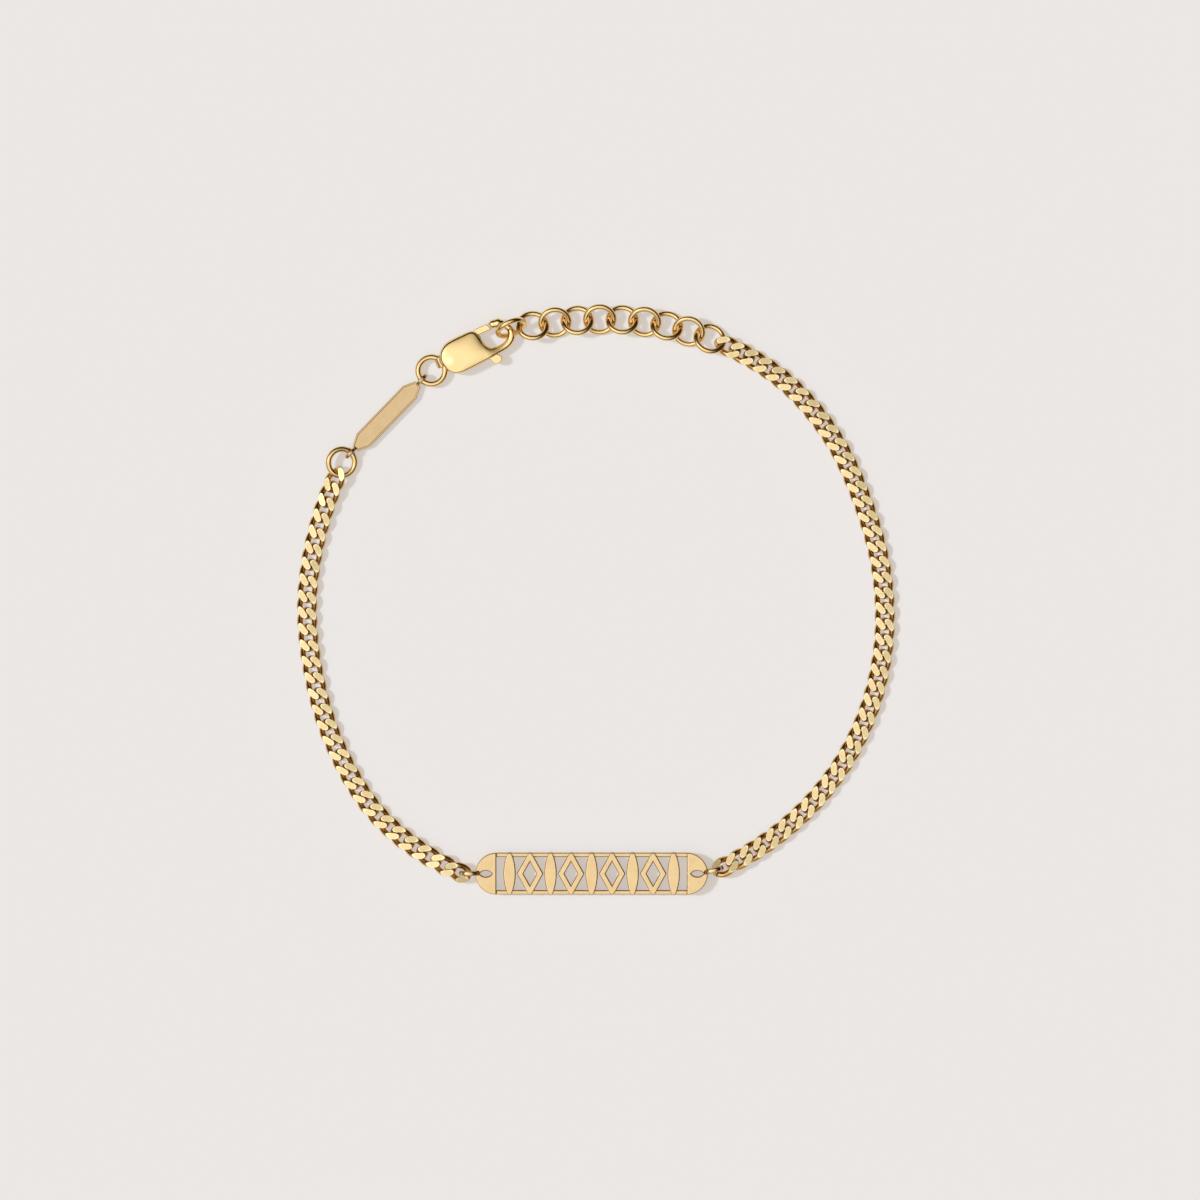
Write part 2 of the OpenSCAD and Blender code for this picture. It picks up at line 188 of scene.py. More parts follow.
class ClaspProperties(bpy.types.PropertyGroup):
    """Sizes of the clasp's body and lever"""
    thick: length("Thickness", "Thickness of the body at the top of its dome", 2)
    rim: length("Rim", "Thickness of the body where its dome ends at the rim", 1.36)
    arm: length("Arm", "Thickness of the arm that ends in the hook", 0.72)
    edge: length("Edge", "Radius of the body's rounded rim on the gate's side", 0.34)
    low_edge: length("Low edge", "Radius of the body's rounded rim on the thumb piece's side", 0.17)
    arm_edge: length("Arm edge", "Radius of the arm's rounded edges", 0.33)
    hook_wire: length("Hook wire", "Diameter of the hook's wire", 0.72)
    lever_thick: length("Lever thickness", "Thickness of the lever", 0.7)
    gap: length("Clearance", "Clearance between the lever and its slot", 0.1)
    grid: length("Grid", "Size of the mesh's cells", 0.055)


class FinishProperties(bpy.types.PropertyGroup):
    """Colours of the golds"""
    wire_gold: colour("Wire gold", "Drawn and polished gold of the links and rings", "F2D298")
    # The round sides' deeper gold is painted shade between the links
    curb_gold: colour("Curb gold", "Gold of the curb wire's round sides", "E0BC80")
    filed_gold: colour("Filed gold", "Gold of the curb chain's filed faces", "F2D8A0")
    cast_gold: colour("Cast gold", "Mirror polished gold of the clasp", "F8DBA2")
    plate_gold: colour("Plate gold", "Soft polished gold of the nameplate", "E8CC9A")
    tag_gold: colour("Tag gold", "Stamped gold of the tag", "D4B88E")


class StageProperties(bpy.types.PropertyGroup):
    """The floor, the lights and the frame"""
    floor: colour("Floor", "Colour of the floor", "7C7C7C")
    glow: colour("Floor glow", "Light that comes through the floor from below", "C1B8B0")
    key: number("Key light", "Strength of the light from the left", 4.6)
    key_colour: colour("Key colour", "Colour of the light from the left", "E4F1FF")
    sky: number("Sky", "Strength of the soft light from all round", 1.28)
    frame_wide: length("Frame", "Width of what the camera sees", 123)


GROUPS = {
    "bracelet_curb": CurbProperties,
    "bracelet_round": RoundProperties,
    "bracelet_plate": PlateProperties,
    "bracelet_tag": TagProperties,
    "bracelet_clasp": ClaspProperties,
    "bracelet_finish": FinishProperties,
    "bracelet_stage": StageProperties,
}


# Turning and placing


def rotations(roll, dip, turn):
    """Matrices that roll about X, then dip about Y, then turn about Z, from angles in degrees."""
    angles = (np.radians(np.atleast_1d(a).astype(float)) for a in (roll, dip, turn))
    cr, sr, cd, sd, ct, st = (f(a) for a in np.broadcast_arrays(*angles) for f in (np.cos, np.sin))
    return np.stack([
        np.stack([ct * cd, ct * sd * sr - st * cr, ct * sd * cr + st * sr], -1),
        np.stack([st * cd, st * sd * sr + ct * cr, st * sd * cr - ct * sr], -1),
        np.stack([-sd, cd * sr, cd * cr], -1),
    ], -2)


def unit(vectors):
    """Vectors at length one."""
    return vectors / np.linalg.norm(vectors, axis=-1, keepdims=True)


def placed(points, matrices, places):
    """The grid of points, repeated once for each matrix and place."""
    turned = np.einsum("nij,...j->n...i", matrices, points)
    return turned + places.reshape((-1,) + (1,) * (points.ndim - 1) + (3,))


def in_clasp(points):
    """Points of the clasp's own frame, in the bracelet's frame."""
    at = np.append(CLASP_AT * MM, 0)
    return points @ rotations(0, 0, CLASP_TURN)[0].T + at


# The line of the chain


def cubic(p0, p1, p2, p3, f):
    """Values a share f of the way from p1 to p2, on smooth curves through the four in turn."""
    return p1 + f * ((p2 - p0) / 2 + f * (p0 - 2.5 * p1 + 2 * p2 - p3 / 2
                                          + f * (1.5 * (p1 - p2) + (p3 - p0) / 2)))


def run_points(run, angles):
    """Points on a run, whose distance from the middle is a smooth cubic through the rows of its table."""
    at = np.abs(angles - run[0, 0]) / KNOT_STEP
    i = np.minimum(np.floor(at).astype(int), len(run) - 2)
    f = at - i
    r = run[:, 1]
    radius = cubic(r[np.maximum(i - 1, 0)], r[i], r[i + 1], r[np.minimum(i + 2, len(run) - 1)], f)
    around = np.radians(angles)
    return (LOOP_MID + radius[:, None] * np.stack([np.cos(around), np.sin(around)], -1)) * MM


def link_line(run, ends, count):
    """Places and headings of count links, equally far apart along a run."""
    first, last = ends
    angles = np.linspace(first, last, int(np.ceil(abs(last - first))) + 1)
    steps = np.linalg.norm(np.diff(run_points(run, angles), axis=0), axis=1)
    walked = np.concatenate([[0], np.cumsum(steps)])
    angles = np.interp(walked[-1] * np.arange(count) / (count - 1), walked, angles)
    half = np.sign(last - first) / 2
    ahead = run_points(run, angles + half) - run_points(run, angles - half)
    return run_points(run, angles), np.degrees(np.arctan2(ahead[:, 1], ahead[:, 0]))


# Meshes from arrays


# Points across a slab's rounded edge
EDGE_STEPS = 4
# How often a net's points are walked onto their surface, and how far about them its slope is taken for
# that and for their normals, as shares of a cell
WALKS, WALK_REACH, NORMAL_REACH = 4, 0.05, 0.3


def grid_faces(rows, columns, repeats=1):
    """Quads of a grid that closes both ways, repeated for grids that follow each other in one list."""
    i, j = np.meshgrid(np.arange(rows), np.arange(columns), indexing="ij")
    i2, j2 = (i + 1) % rows, (j + 1) % columns
    corners = [i * columns + j, i2 * columns + j, i2 * columns + j2, i * columns + j2]
    starts = (np.arange(repeats) * rows * columns)[:, None, None]
    return (np.stack(corners, -1).reshape(-1, 4) + starts).reshape(-1, 4)


def piece(name, points, quads, body, node, kind, normals=None):
    """A smooth mesh of quads, in a kind of gold, that rides on a body and stands for a CAD node."""
    points = points.reshape(-1, 3)
    mesh = bpy.data.meshes.new(name)
    mesh.vertices.add(len(points))
    mesh.vertices.foreach_set("co", points.astype(np.float32).ravel())
    mesh.loops.add(quads.size)
    mesh.loops.foreach_set("vertex_index", quads.astype(np.int32).ravel())
    mesh.polygons.add(len(quads))
    mesh.polygons.foreach_set("loop_start", np.arange(0, quads.size, 4, dtype=np.int32))
    mesh.update(calc_edges=True)
    mesh.validate()
    mesh.shade_smooth()
    if normals is not None:
        mesh.normals_split_custom_set_from_vertices(normals.reshape(-1, 3).astype(np.float32))
    mesh.materials.append(gold(kind))
    obj = bpy.data.objects.new(name, mesh)
    bpy.context.scene.collection.objects.link(obj)
    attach(obj, body)
    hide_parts(node)
    return obj


def point_attribute(obj, name, values):
    """Keeps one number for each point of a mesh, for its material to read."""
    attribute = obj.data.attributes.new(name, "FLOAT", "POINT")
    attribute.data.foreach_set("value", values.astype(np.float32).ravel())


def ring_grid(radius, wire, around=96, sides=24, square=1):
    """Points of a ring: a section of wire carried round a circle that lies flat. The section is a circle
    whose sine and cosine are raised to a power, which squares it where the power is below 1."""
    t = np.linspace(0, 2 * np.pi, around, endpoint=False)[:, None]
    s = np.linspace(0, 2 * np.pi, sides, endpoint=False)[None, :]
    out, up = (wire / 2 * np.sign(f) * np.abs(f) ** square for f in (np.cos(s), np.sin(s)))
    return np.stack(np.broadcast_arrays((radius + out) * np.cos(t), (radius + out) * np.sin(t), up), -1)


def gathered(parts):
    """Points, normals and quads of several closed meshes in one, each with its faces outwards."""
    start = 0
    points, normals, quads = [], [], []
    for part_points, part_normals, part_quads in parts:
        part_points = part_points.reshape(-1, 3)
        a, b, c, d = (part_points[part_quads[:, k]] for k in range(4))
        volume = (np.cross(b - a, c - a) * a).sum() + (np.cross(c - a, d - a) * a).sum()
        points.append(part_points)
        normals.append(part_normals.reshape(-1, 3))
        quads.append((part_quads if volume > 0 else part_quads[:, ::-1]) + start)
        start += len(part_points)
    return np.vstack(points), np.vstack(normals), np.vstack(quads)


def side_normals(loop):
    """Directions square to an outline's sides, which point into one that runs anticlockwise."""
    side = np.roll(loop, -1, axis=0) - loop
    return unit(np.stack([-side[:, 1], side[:, 0]], -1))


def moved_in(loop, distance):
    """An anticlockwise outline with each side moved inwards, or outwards by a distance below zero."""
    left = side_normals(loop)
    before = np.roll(left, 1, axis=0)
    return loop + distance * (left + before) / (1 + (left * before).sum(1, keepdims=True))


def steps_along(corners, step):
    """How many steps each side of an outline is divided into, so that none is longer than a step."""
    return np.ceil(np.linalg.norm(np.roll(corners, -1, axis=0) - corners, axis=1) / step).astype(int)


def filled(corners, counts):
    """An outline through corners, with each side divided into its count of steps."""
    share = np.concatenate([np.arange(n) / n for n in counts])[:, None]
    start = np.repeat(corners, counts, axis=0)
    return start + share * (np.repeat(np.roll(corners, -1, axis=0), counts, axis=0) - start)


def inward(loop):
    """Directions into an anticlockwise outline at its points, halfway between those of the two sides."""
    left = side_normals(loop)
    return unit(left + np.roll(left, 1, axis=0))


def slab(outer, inner, hollow, low, high, radius):
    """A plate between two outlines with the same number of points, from low to high. Its section follows
    quarter circles at the upper edges and small chamfers at the lower ones. Where it isn't hollow, the inner
    outline is only a seam of its faces. Gives its points, normals and quads."""
    foot, tight = radius / 3, 0.01 * MM
    turn = np.linspace(0, np.pi / 2, EDGE_STEPS)
    section = [(foot, low, -np.pi / 2), (0, low + foot, 0), (0, high - radius - tight, 0)]
    section += list(zip(radius * (1 - np.cos(turn)), high - radius * (1 - np.sin(turn)), turn))
    section += [(radius + tight, high, np.pi / 2)]
    walls = [(outer, 1, section)] + ([(inner, -1, section[::-1])] if hollow else [])
    rims, normals = [], []
    for loop, out, rows in walls:
        for distance, z, tilt in rows:
            rims.append(np.column_stack([moved_in(loop, out * distance), np.full(len(loop), z)]))
            facing = -out * np.cos(tilt) * inward(loop)
            normals.append(np.column_stack([facing, np.full(len(loop), np.sin(tilt))]))
    if not hollow:
        rims += [np.column_stack([inner, np.full(len(inner), z)]) for z in (high, low)]
        normals += [np.tile([0, 0, up], (len(inner), 1)) for up in (1.0, -1.0)]
    points = np.stack(rims, 1)
    quads = grid_faces(*points.shape[:2])
    if not hollow:
        seam = len(rims) - 2
        quads = quads[np.arange(len(quads)) % len(rims) != seam]
    return points, np.stack(normals, 1), quads


def surface_nets(field, low, high, step):
    """Mesh of the surface where a field is zero. Each cell of a grid that the surface crosses gets one
    point, the mean of the crossings on its edges, and each crossed edge gets one quad between its four
    cells. The points are then walked along the field's slope until they lie on the surface."""
    axes = [np.arange(a - 2 * step, b + 3 * step, step) for a, b in zip(low, high)]
    values = np.broadcast_to(field(axes[0][:, None, None], axes[1][None, :, None], axes[2][None, None, :]),
                             [len(a) for a in axes])
    total = np.zeros([len(a) - 1 for a in axes] + [3])
    count = np.zeros(total.shape[:3])
    crossed = []
    for d in range(3):
        v = np.moveaxis(values, d, 0)
        mask = (v[:-1] < 0) != (v[1:] < 0)
        share = np.where(mask, v[:-1] / np.where(mask, v[:-1] - v[1:], 1), 0)
        others = [a for a in range(3) if a != d]
        index = np.indices(mask.shape).astype(float)
        index[0] += share
        points = np.empty(mask.shape + (3,))
        points[..., d], points[..., others[0]], points[..., others[1]] = index
        points *= mask[..., None]
        cell_sum, cell_count = np.moveaxis(total, d, 0), np.moveaxis(count, d, 0)
        for a in (0, 1):
            for b in (0, 1):
                near = (slice(None), slice(a, mask.shape[1] - 1 + a), slice(b, mask.shape[2] - 1 + b))
                cell_sum += points[near]
                cell_count += mask[near]
        crossed.append((d, others, np.argwhere(mask), (v[:-1] < 0)[mask]))
    used = count > 0
    number_of = np.full(count.shape, -1)
    number_of[used] = np.arange(used.sum())
    points = total[used] / count[used][:, None]
    quads = []
    for d, others, at, inside in crossed:
        corners = []
        for a, b in ((-1, -1), (0, -1), (0, 0), (-1, 0)):
            cell = np.empty((len(at), 3), int)
            cell[:, d], cell[:, others[0]], cell[:, others[1]] = at[:, 0], at[:, 1] + a, at[:, 2] + b
            corners.append(number_of[tuple(cell.T)])
        quad = np.stack(corners, 1)
        flip = inside == (d == 1)
        quad[flip] = quad[flip][:, ::-1]
        quads.append(quad)
    points = points * step + [a[0] for a in axes]
    for _ in range(WALKS):
        slope = field_slope(field, points, step * WALK_REACH)
        move = (field(*points.T) / np.maximum((slope ** 2).sum(-1), 1e-3))[:, None] * slope
        far = np.linalg.norm(move, axis=-1, keepdims=True)
        points -= move * np.minimum(1, step / 3 / np.maximum(far, 1e-12))
    slope = field_slope(field, points, step * NORMAL_REACH)
    normals = slope / np.maximum(np.linalg.norm(slope, axis=-1, keepdims=True), 1e-9)
    return points, np.vstack(quads), normals


def field_slope(field, points, e):
    """Slope of a field at points, from its values a distance e to both sides."""
    x, y, z = points.T
    return np.stack([field(x + e, y, z) - field(x - e, y, z), field(x, y + e, z) - field(x, y - e, z),
                     field(x, y, z + e) - field(x, y, z - e)], -1) / (2 * e)


# Fields: distances in metres to plane outlines and solids, below zero inside


def joined(a, b, blend):
    """Two solids in one, with a fillet of about the blend's size where they meet."""
    h = np.maximum(blend - np.abs(a - b), 0) / blend
    return np.minimum(a, b) - h * h * blend / 4


def cut(a, b, blend):
    """The first solid without the second, with edges eased by about the blend's size."""
    return -joined(-a, b, blend)


def raised(outline, z, low, high, edge):
    """A plane outline raised from low to high, with its edges rounded to a radius."""
    across = outline + edge
    along = np.abs(z - (low + high) / 2) - (high - low) / 2 + edge
    outside = np.hypot(np.maximum(across, 0), np.maximum(along, 0))
    return outside + np.minimum(np.maximum(across, along), 0) - edge


def bar_outline(x, y, ax, ay, bx, by, wide):
    """Distance to a flat bar with round ends."""
    dx, dy = bx - ax, by - ay
    share = np.clip(((x - ax) * dx + (y - ay) * dy) / (dx * dx + dy * dy), 0, 1)
    return np.hypot(x - ax - share * dx, y - ay - share * dy) - wide / 2


def polygon_outline(x, y, corners):
    """Distance to a polygon: the least distance to its sides, below zero where a ray to the right crosses
    them an odd number of times."""
    x, y = np.broadcast_arrays(x, y)
    nearest = np.full(x.shape, np.inf)
    inside = np.zeros(x.shape, bool)
    for (ax, ay), (bx, by) in zip(corners, np.roll(corners, -1, axis=0)):
        nearest = np.minimum(nearest, bar_outline(x, y, ax, ay, bx, by, 0))
        if ay != by:
            inside ^= ((ay > y) != (by > y)) & (x < ax + (y - ay) / (by - ay) * (bx - ax))
    return np.where(inside, -nearest, nearest)


def ring_field(x, y, z, radius, wire):
    """Distance to a ring of wire that lies flat about Z."""
    return np.hypot(np.hypot(x, y) - radius, z) - wire / 2


def wedge_outline(x, y, start, end, reach):
    """Distance to a wedge of a disc between two angles, in degrees."""
    middle, half = np.radians((start + end) / 2), np.radians((end - start) / 2)
    u = x * np.cos(middle) + y * np.sin(middle)
    v = np.abs(-x * np.sin(middle) + y * np.cos(middle))
    return np.maximum(np.hypot(x, y) - reach, v * np.cos(half) - u * np.sin(half))


# Curb chain

# Where a flat's middle is, as a share of the link's width, and how far below the chain's face, in mm
FLAT_MIDDLE, FLAT_DROP = 0.36, 0.01
# How deep the flats' tones are on the run's right and on its left, in columns [least, how far they vary].
# Each flat's tone differs at random, and the flats on the run's left are deeper as painted shade.
FLAT_TONES_AND_SHADE = np.array([[0, 0.35], [0.25, 0.75]])
TONE_SEED = 7


def curb_centre(t, size):
    """Centre line of one curb link: an oval, squared by raising its sine and cosine to a power, and twisted
    about its length."""
    u = np.sign(np.cos(t)) * np.abs(np.cos(t)) ** size.square
    v = size.wide / 2 * np.sign(np.sin(t)) * np.abs(np.sin(t)) ** size.square
    turn = size.twist * u
    return np.stack([size.long / 2 * u, v * np.cos(turn), -v * np.sin(turn)], -1)


def even_stations(size, count):
    """Angles on the curb's centre line at equal distances along the wire."""
    t = np.linspace(0, 2 * np.pi, 4001)
    walked = np.concatenate([[0], np.cumsum(np.linalg.norm(np.diff(curb_centre(t, size), axis=0), axis=1))])
    return np.interp(np.linspace(0, walked[-1], count, endpoint=False), walked, t)


def curb_wire_grid(size, stations=72, sides=26):
    """Points and normals of one curb link's pressed wire: a circle square to the centre line, carried along
    it, with its height pressed down."""
    centre = curb_centre(even_stations(size, stations), size)
    along = unit(np.roll(centre, -1, axis=0) - np.roll(centre, 1, axis=0))
    across = unit(np.cross(along, [0, 0, 1]))
    up = np.cross(across, along)
    a = np.pi / 2 + 2 * np.pi * np.arange(sides) / sides
    ring = np.cos(a)[None, :, None] * across[:, None] + np.sin(a)[None, :, None] * up[:, None]
    return (centre[:, None] + size.wire / 2 * ring) * [1, 1, size.press], unit(ring / [1, 1, size.press])


def filed(points, normals, size, count, seed):
    """The wire of each link with its upper and lower faces filed to flats. Each flat is a plane that slopes
    down outwards and strays a little from that slope, and its edge is eased: the height follows the wire
    until it nears the plane, and then bends into it. Gives the points, their normals, and how deep the file
    went at each."""
    chance = np.random.default_rng(seed)
    points = np.broadcast_to(points, (count,) + points.shape).copy()
    x, y, z = points[..., 0], points[..., 1], points[..., 2]
    side, face = np.where(y > 0, 1.0, -1.0), np.where(z > 0, 1.0, -1.0)
    stray = np.tan(size.uneven) * chance.normal(0, 0.5, (count, 4, 2)).clip(-1, 1)
    which = (y > 0).astype(int) + 2 * (z > 0)
    lengthways, crossways = (stray[np.arange(count)[:, None, None], which, k] for k in (0, 1))
    fall = np.tan(size.slope) - crossways
    plane = size.thick / 2 - fall * (np.abs(y) - FLAT_MIDDLE * size.wide) - FLAT_DROP * MM + lengthways * x
    plane = np.minimum(plane, size.thick / 2)
    over = np.abs(z) - plane
    bent = -(size.soft - over.clip(-size.soft, size.soft)) ** 2 / (4 * size.soft)
    points[..., 2] = face * (plane + np.where(over < -size.soft, over, bent))
    flat = unit(np.stack([-lengthways, side * fall, np.ones_like(x)], -1))
    flat[..., 2] *= face
    share = np.clip((over + size.soft) / (2 * size.soft), 0, 1)[..., None]
    return points, unit(normals * (1 - share) + flat * share), over


def curb_chain(name, node, run, ends, count, first_table, last_table, seed):
    """One run of curb links, each filed and lying where its solid lies."""
    size = bpy.context.scene.bracelet_curb
    wire, normals, depth = filed(*curb_wire_grid(size), size, count, seed)
    at, heading = link_line(run, ends, count)
    roll, lift = np.zeros(count), np.zeros(count)
    for rows, order in ((first_table, 1), (last_table, -1)):
        table = np.array(rows)
        roll[::order][:len(table)] += table[:, 0]
        lift[::order][:len(table)] += table[:, 1] * MM
    i = np.arange(count)
    before, after = np.maximum(i - 1, 0), np.minimum(i + 1, count - 1)
    step = np.linalg.norm(at[1] - at[0])
    climb = np.degrees(np.arctan2(lift[after] - lift[before], step * (after - before)))
    turn = rotations(roll, -np.where(lift > 0, climb, 0), heading)
    turned, facing = (np.einsum("nij,nabj->nabi", turn, a) for a in (wire, normals))
    places = np.column_stack([at, size.thick / 2 + lift])
    stations, sides = wire.shape[1:3]
    # The wire's round sides take the deeper gold, which is painted shade between the links
    obj = piece(name, turned + places[:, None, None], grid_faces(stations, sides, count), BODY, node,
                "curb_gold", facing)
    # Each flat's tone: random from flat to flat, and deeper on the run's left as painted shade
    tone = np.random.default_rng(seed + TONE_SEED).random((count, 2)) * FLAT_TONES_AND_SHADE[:, 1] + FLAT_TONES_AND_SHADE[:, 0]
    point_attribute(obj, "filed", depth / MM)
    point_attribute(obj, "tone", tone[np.arange(count)[:, None, None], (wire[..., 1] > 0).astype(int)])
    return obj


# Rings and round links

# How far the first and the last round link dip, in degrees, how far the first rises, and the room that
# all have above the floor, in mm
FIRST_DIP, LAST_DIP, FIRST_LIFT, FLOOR_ROOM = 7.5, 2.4, 0.173, 0.01
# The hooked link and the ring in the clasp's eye, in the clasp's own frame, in mm and degrees
HOOKED_AT = [8.013, 0.189, 1.613]
HOOKED_LEAN, HOOKED_DIP = 66.7, -1.8
EYE_RING_AT = [-1.21, -0.37, 0.74]
# How the ring by the chain lies, in degrees and mm
CHAIN_RING = {"lean": -17.6, "dip": 0.7, "turn": 245, "z": 0.855}
# The tag's middle, its turn in degrees, and how far along it the ring by the chain is, in mm
TAG_AT = np.array([-21.47, 18.76])
TAG_TURN = 45.9
TAG_TO_RING = 6.57


def round_chain():
    """The extender: round links that lean to one side and the other in turn."""
    size = bpy.context.scene.bracelet_round
    radius = (size.outside - size.wire) / 2
    at, heading = link_line(RIGHT_RUN, ROUND_ENDS, size.count)
    i = np.arange(size.count)
    lean = np.where(i % 2 == 0, -1, 1) * np.degrees(size.lean)
    dip, lift = np.zeros(size.count), np.zeros(size.count)
    dip[0], dip[-1], lift[0] = FIRST_DIP, LAST_DIP, FIRST_LIFT * MM
    z = radius * np.sin(size.lean) + size.wire / 2 + FLOOR_ROOM * MM + lift
    turned = rotations(0, 0, heading) @ rotations(0, dip, 0) @ rotations(lean, 0, 0)
    grid = ring_grid(radius, size.wire)
    points = placed(grid, turned, np.column_stack([at, z]))
    return piece("round_links", points, grid_faces(*grid.shape[:2], size.count), BODY, "extender_chain",
                 "wire_gold")


def one_ring(name, node, radius, wire, matrix, at):
    """A single ring, turned by a matrix and placed."""
    grid = ring_grid(radius, wire, 128, 28)
    return piece(name, placed(grid, matrix, at), grid_faces(*grid.shape[:2]), BODY, node, "wire_gold")


def plain_rings():
    """The link that the hook holds, and the two plain rings on either side of the tag."""
    size = bpy.context.scene.bracelet_round
    turn = rotations(0, 0, CLASP_TURN)
    one_ring("hooked_round_link", "hooked_link", (size.outside - size.wire) / 2, size.wire,
             turn @ rotations(0, HOOKED_DIP, 0) @ rotations(HOOKED_LEAN, 0, 0),
             in_clasp(np.array([HOOKED_AT]) * MM))
    radius = (size.ring_outside - size.ring_wire) / 2
    one_ring("ring_by_clasp", "jump_ring_clasp", radius, size.ring_wire, turn,
             in_clasp(np.array([EYE_RING_AT]) * MM))
    away = np.radians(TAG_TURN)
    at = TAG_AT - TAG_TO_RING * np.array([np.cos(away), np.sin(away)])
    one_ring("ring_by_chain", "jump_ring_chain", radius, size.ring_wire,
             rotations(CHAIN_RING["lean"], CHAIN_RING["dip"], CHAIN_RING["turn"]),
             np.array([[at[0], at[1], CHAIN_RING["z"]]]) * MM)


# Nameplate

# The plate's middle, and how its end rings stand: their turn in degrees, their rise and reach in mm
PLATE_AT = np.array([-0.45, -28.05])
PLATE_RINGS = [{"side": -1, "turn": 180.5, "rise": 0.05}, {"side": 1, "turn": 16, "rise": 0.2}]
PLATE_RING_REACH = 0.58
# The ornament in mm: its step, how wide each motif is, and how far it would run past the plate's edges if
# they didn't cut it off. A lozenge's strip is thinner across than along.
MOTIF_STEP = 2.1
LEAF_WIDE, LEAF_PAST = 1.25, 0.45
LOZENGE_HALF, LOZENGE_PAST, LOZENGE_STRIP = 1.36, 0.3, (0.68, 1.24)
# Length and width of the leaf in each rounded end, and where it is, as a share of the end's radius
END_LEAF, END_LEAF_AT = (1.3, 0.62), 0.5
# The power that flattens the sides of a standing ring's wire, and the points round it and round its wire
RING_SQUARE, RING_NET = 0.65, (72, 32)
# Distance from a corner to the outline's next point, in mm, so that rounding can't push them past each
# other
CORNER_ROOM = 0.16
# How far the rails run into the rounded ends, and the distance between their points, in mm
RAIL_PAST, RAIL_STEP = 0.05, 0.4


def leaf_loop(long, wide, reach, count=37):
    """Outline of a leaf, the lens that two equal circles share, as far as it reaches along its length."""
    r = (long * long + wide * wide) / (4 * wide)
    room = CORNER_ROOM * MM
    along = np.concatenate([[-reach], np.linspace(room - reach, reach - room, count - 2), [reach]])
    across = np.sqrt(r * r - along * along) - r + wide / 2
    return np.vstack([np.column_stack([across, along]), np.column_stack([-across, along])[::-1]])


def leaf_slab(x, size):
    """One standing leaf of the ornament, cut off at the plate's edges."""
    half = size.wide / 2
    loop = leaf_loop(size.wide + 2 * LEAF_PAST * MM, LEAF_WIDE * MM, half)
    seam = loop * [0, 0.9]
    return slab(loop + [x, 0], seam + [x, 0], False, 0, size.thick, size.round)


def lozenge_slab(x, size):
    """One open lozenge of the ornament, cut off at the plate's edges."""
    half = size.wide / 2
    a, b = LOZENGE_HALF * MM, half + LOZENGE_PAST * MM
    share = np.linspace(0, half / b, 24)
    cut_at = a * (1 - half / b)
    outer = np.vstack([np.column_stack([a * (1 - share), b * share]), [[cut_at / 2, half], [0, half]]])
    share = np.append(np.linspace(0, 0.9, 24), [0.97, 1.0])[:, None]
    inner_a, inner_b = a - LOZENGE_STRIP[0] * MM, b - LOZENGE_STRIP[1] * MM
    inner = np.array([[inner_a, 0]]) * (1 - share) + np.array([[0, inner_b]]) * share
    return slab(all_round(outer) + [x, 0], all_round(inner) + [x, 0], True, 0, size.thick, size.round)


def all_round(quarter):
    """A closed outline from its first quarter, which runs from the X axis to the Y axis."""
    left = quarter[::-1][1:] * [-1, 1]
    upper = np.vstack([quarter, left])
    return np.vstack([upper, -upper[1:-1]])


def end_slab(side, size):
    """One rounded end of the plate with a lying leaf cut through it."""
    half = size.wide / 2
    room = CORNER_ROOM * MM
    arc = np.radians(90) * np.concatenate([[-1], np.linspace(-0.95, 0.95, 117), [1]])
    back = np.linspace(half - room, room - half, 57)
    bow = half * np.column_stack([np.cos(arc), np.sin(arc)])
    outer = np.vstack([bow, np.column_stack([0 * back, back])])
    middle = np.array([half * END_LEAF_AT, 0])
    leaf = leaf_loop(END_LEAF[0] * MM, END_LEAF[1] * MM, END_LEAF[0] * MM / 2, 121)[:, ::-1] * [1, -1]
    turn = np.arctan2(leaf[:, 1], leaf[:, 0])
    order = np.argsort(turn)
    out = outer - middle
    way = np.arctan2(out[:, 1], out[:, 0])
    inner = np.column_stack([np.interp(way, turn[order], leaf[order, k], period=2 * np.pi) for k in (0, 1)])
    place = [side * (size.long / 2 - half), 0]
    both = [(loop * [side, 1] + place)[::side] for loop in (outer, inner + middle)]
    return slab(*both, True, 0, size.thick, size.round)


def rail_slab(side, size):
    """One of the lower rails along the plate's edges."""
    half, ends = size.wide / 2, size.long / 2 - size.wide / 2 + RAIL_PAST * MM
    low, high = sorted((side * half, side * (half - size.rail_wide)))
    corners = np.array([[-ends, low], [ends, low], [ends, high], [-ends, high]])
    loop = filled(corners, steps_along(corners, RAIL_STEP * MM))
    seam = np.column_stack([loop[:, 0] * 0.98, np.full(len(loop), (low + high) / 2)])
    return slab(loop, seam, False, 0, size.rail_thick, size.round)


def standing_ring(x, y, turn, outside, wire):
    """A cast ring with flattened sides that stands on its rim, turned about Z. Its normals follow the
    section's sine and cosine raised to two less the section's own power."""
    grid = ring_grid((outside - wire) / 2, wire, *RING_NET, RING_SQUARE)
    at = np.array([[x, y, outside / 2]])
    matrix = rotations(0, 0, turn) @ rotations(90, 0, 0)
    outwards = unit(ring_grid(0, 2, *RING_NET, 2 - RING_SQUARE))
    return placed(grid, matrix, at), placed(outwards, matrix, 0 * at), grid_faces(*grid.shape[:2])


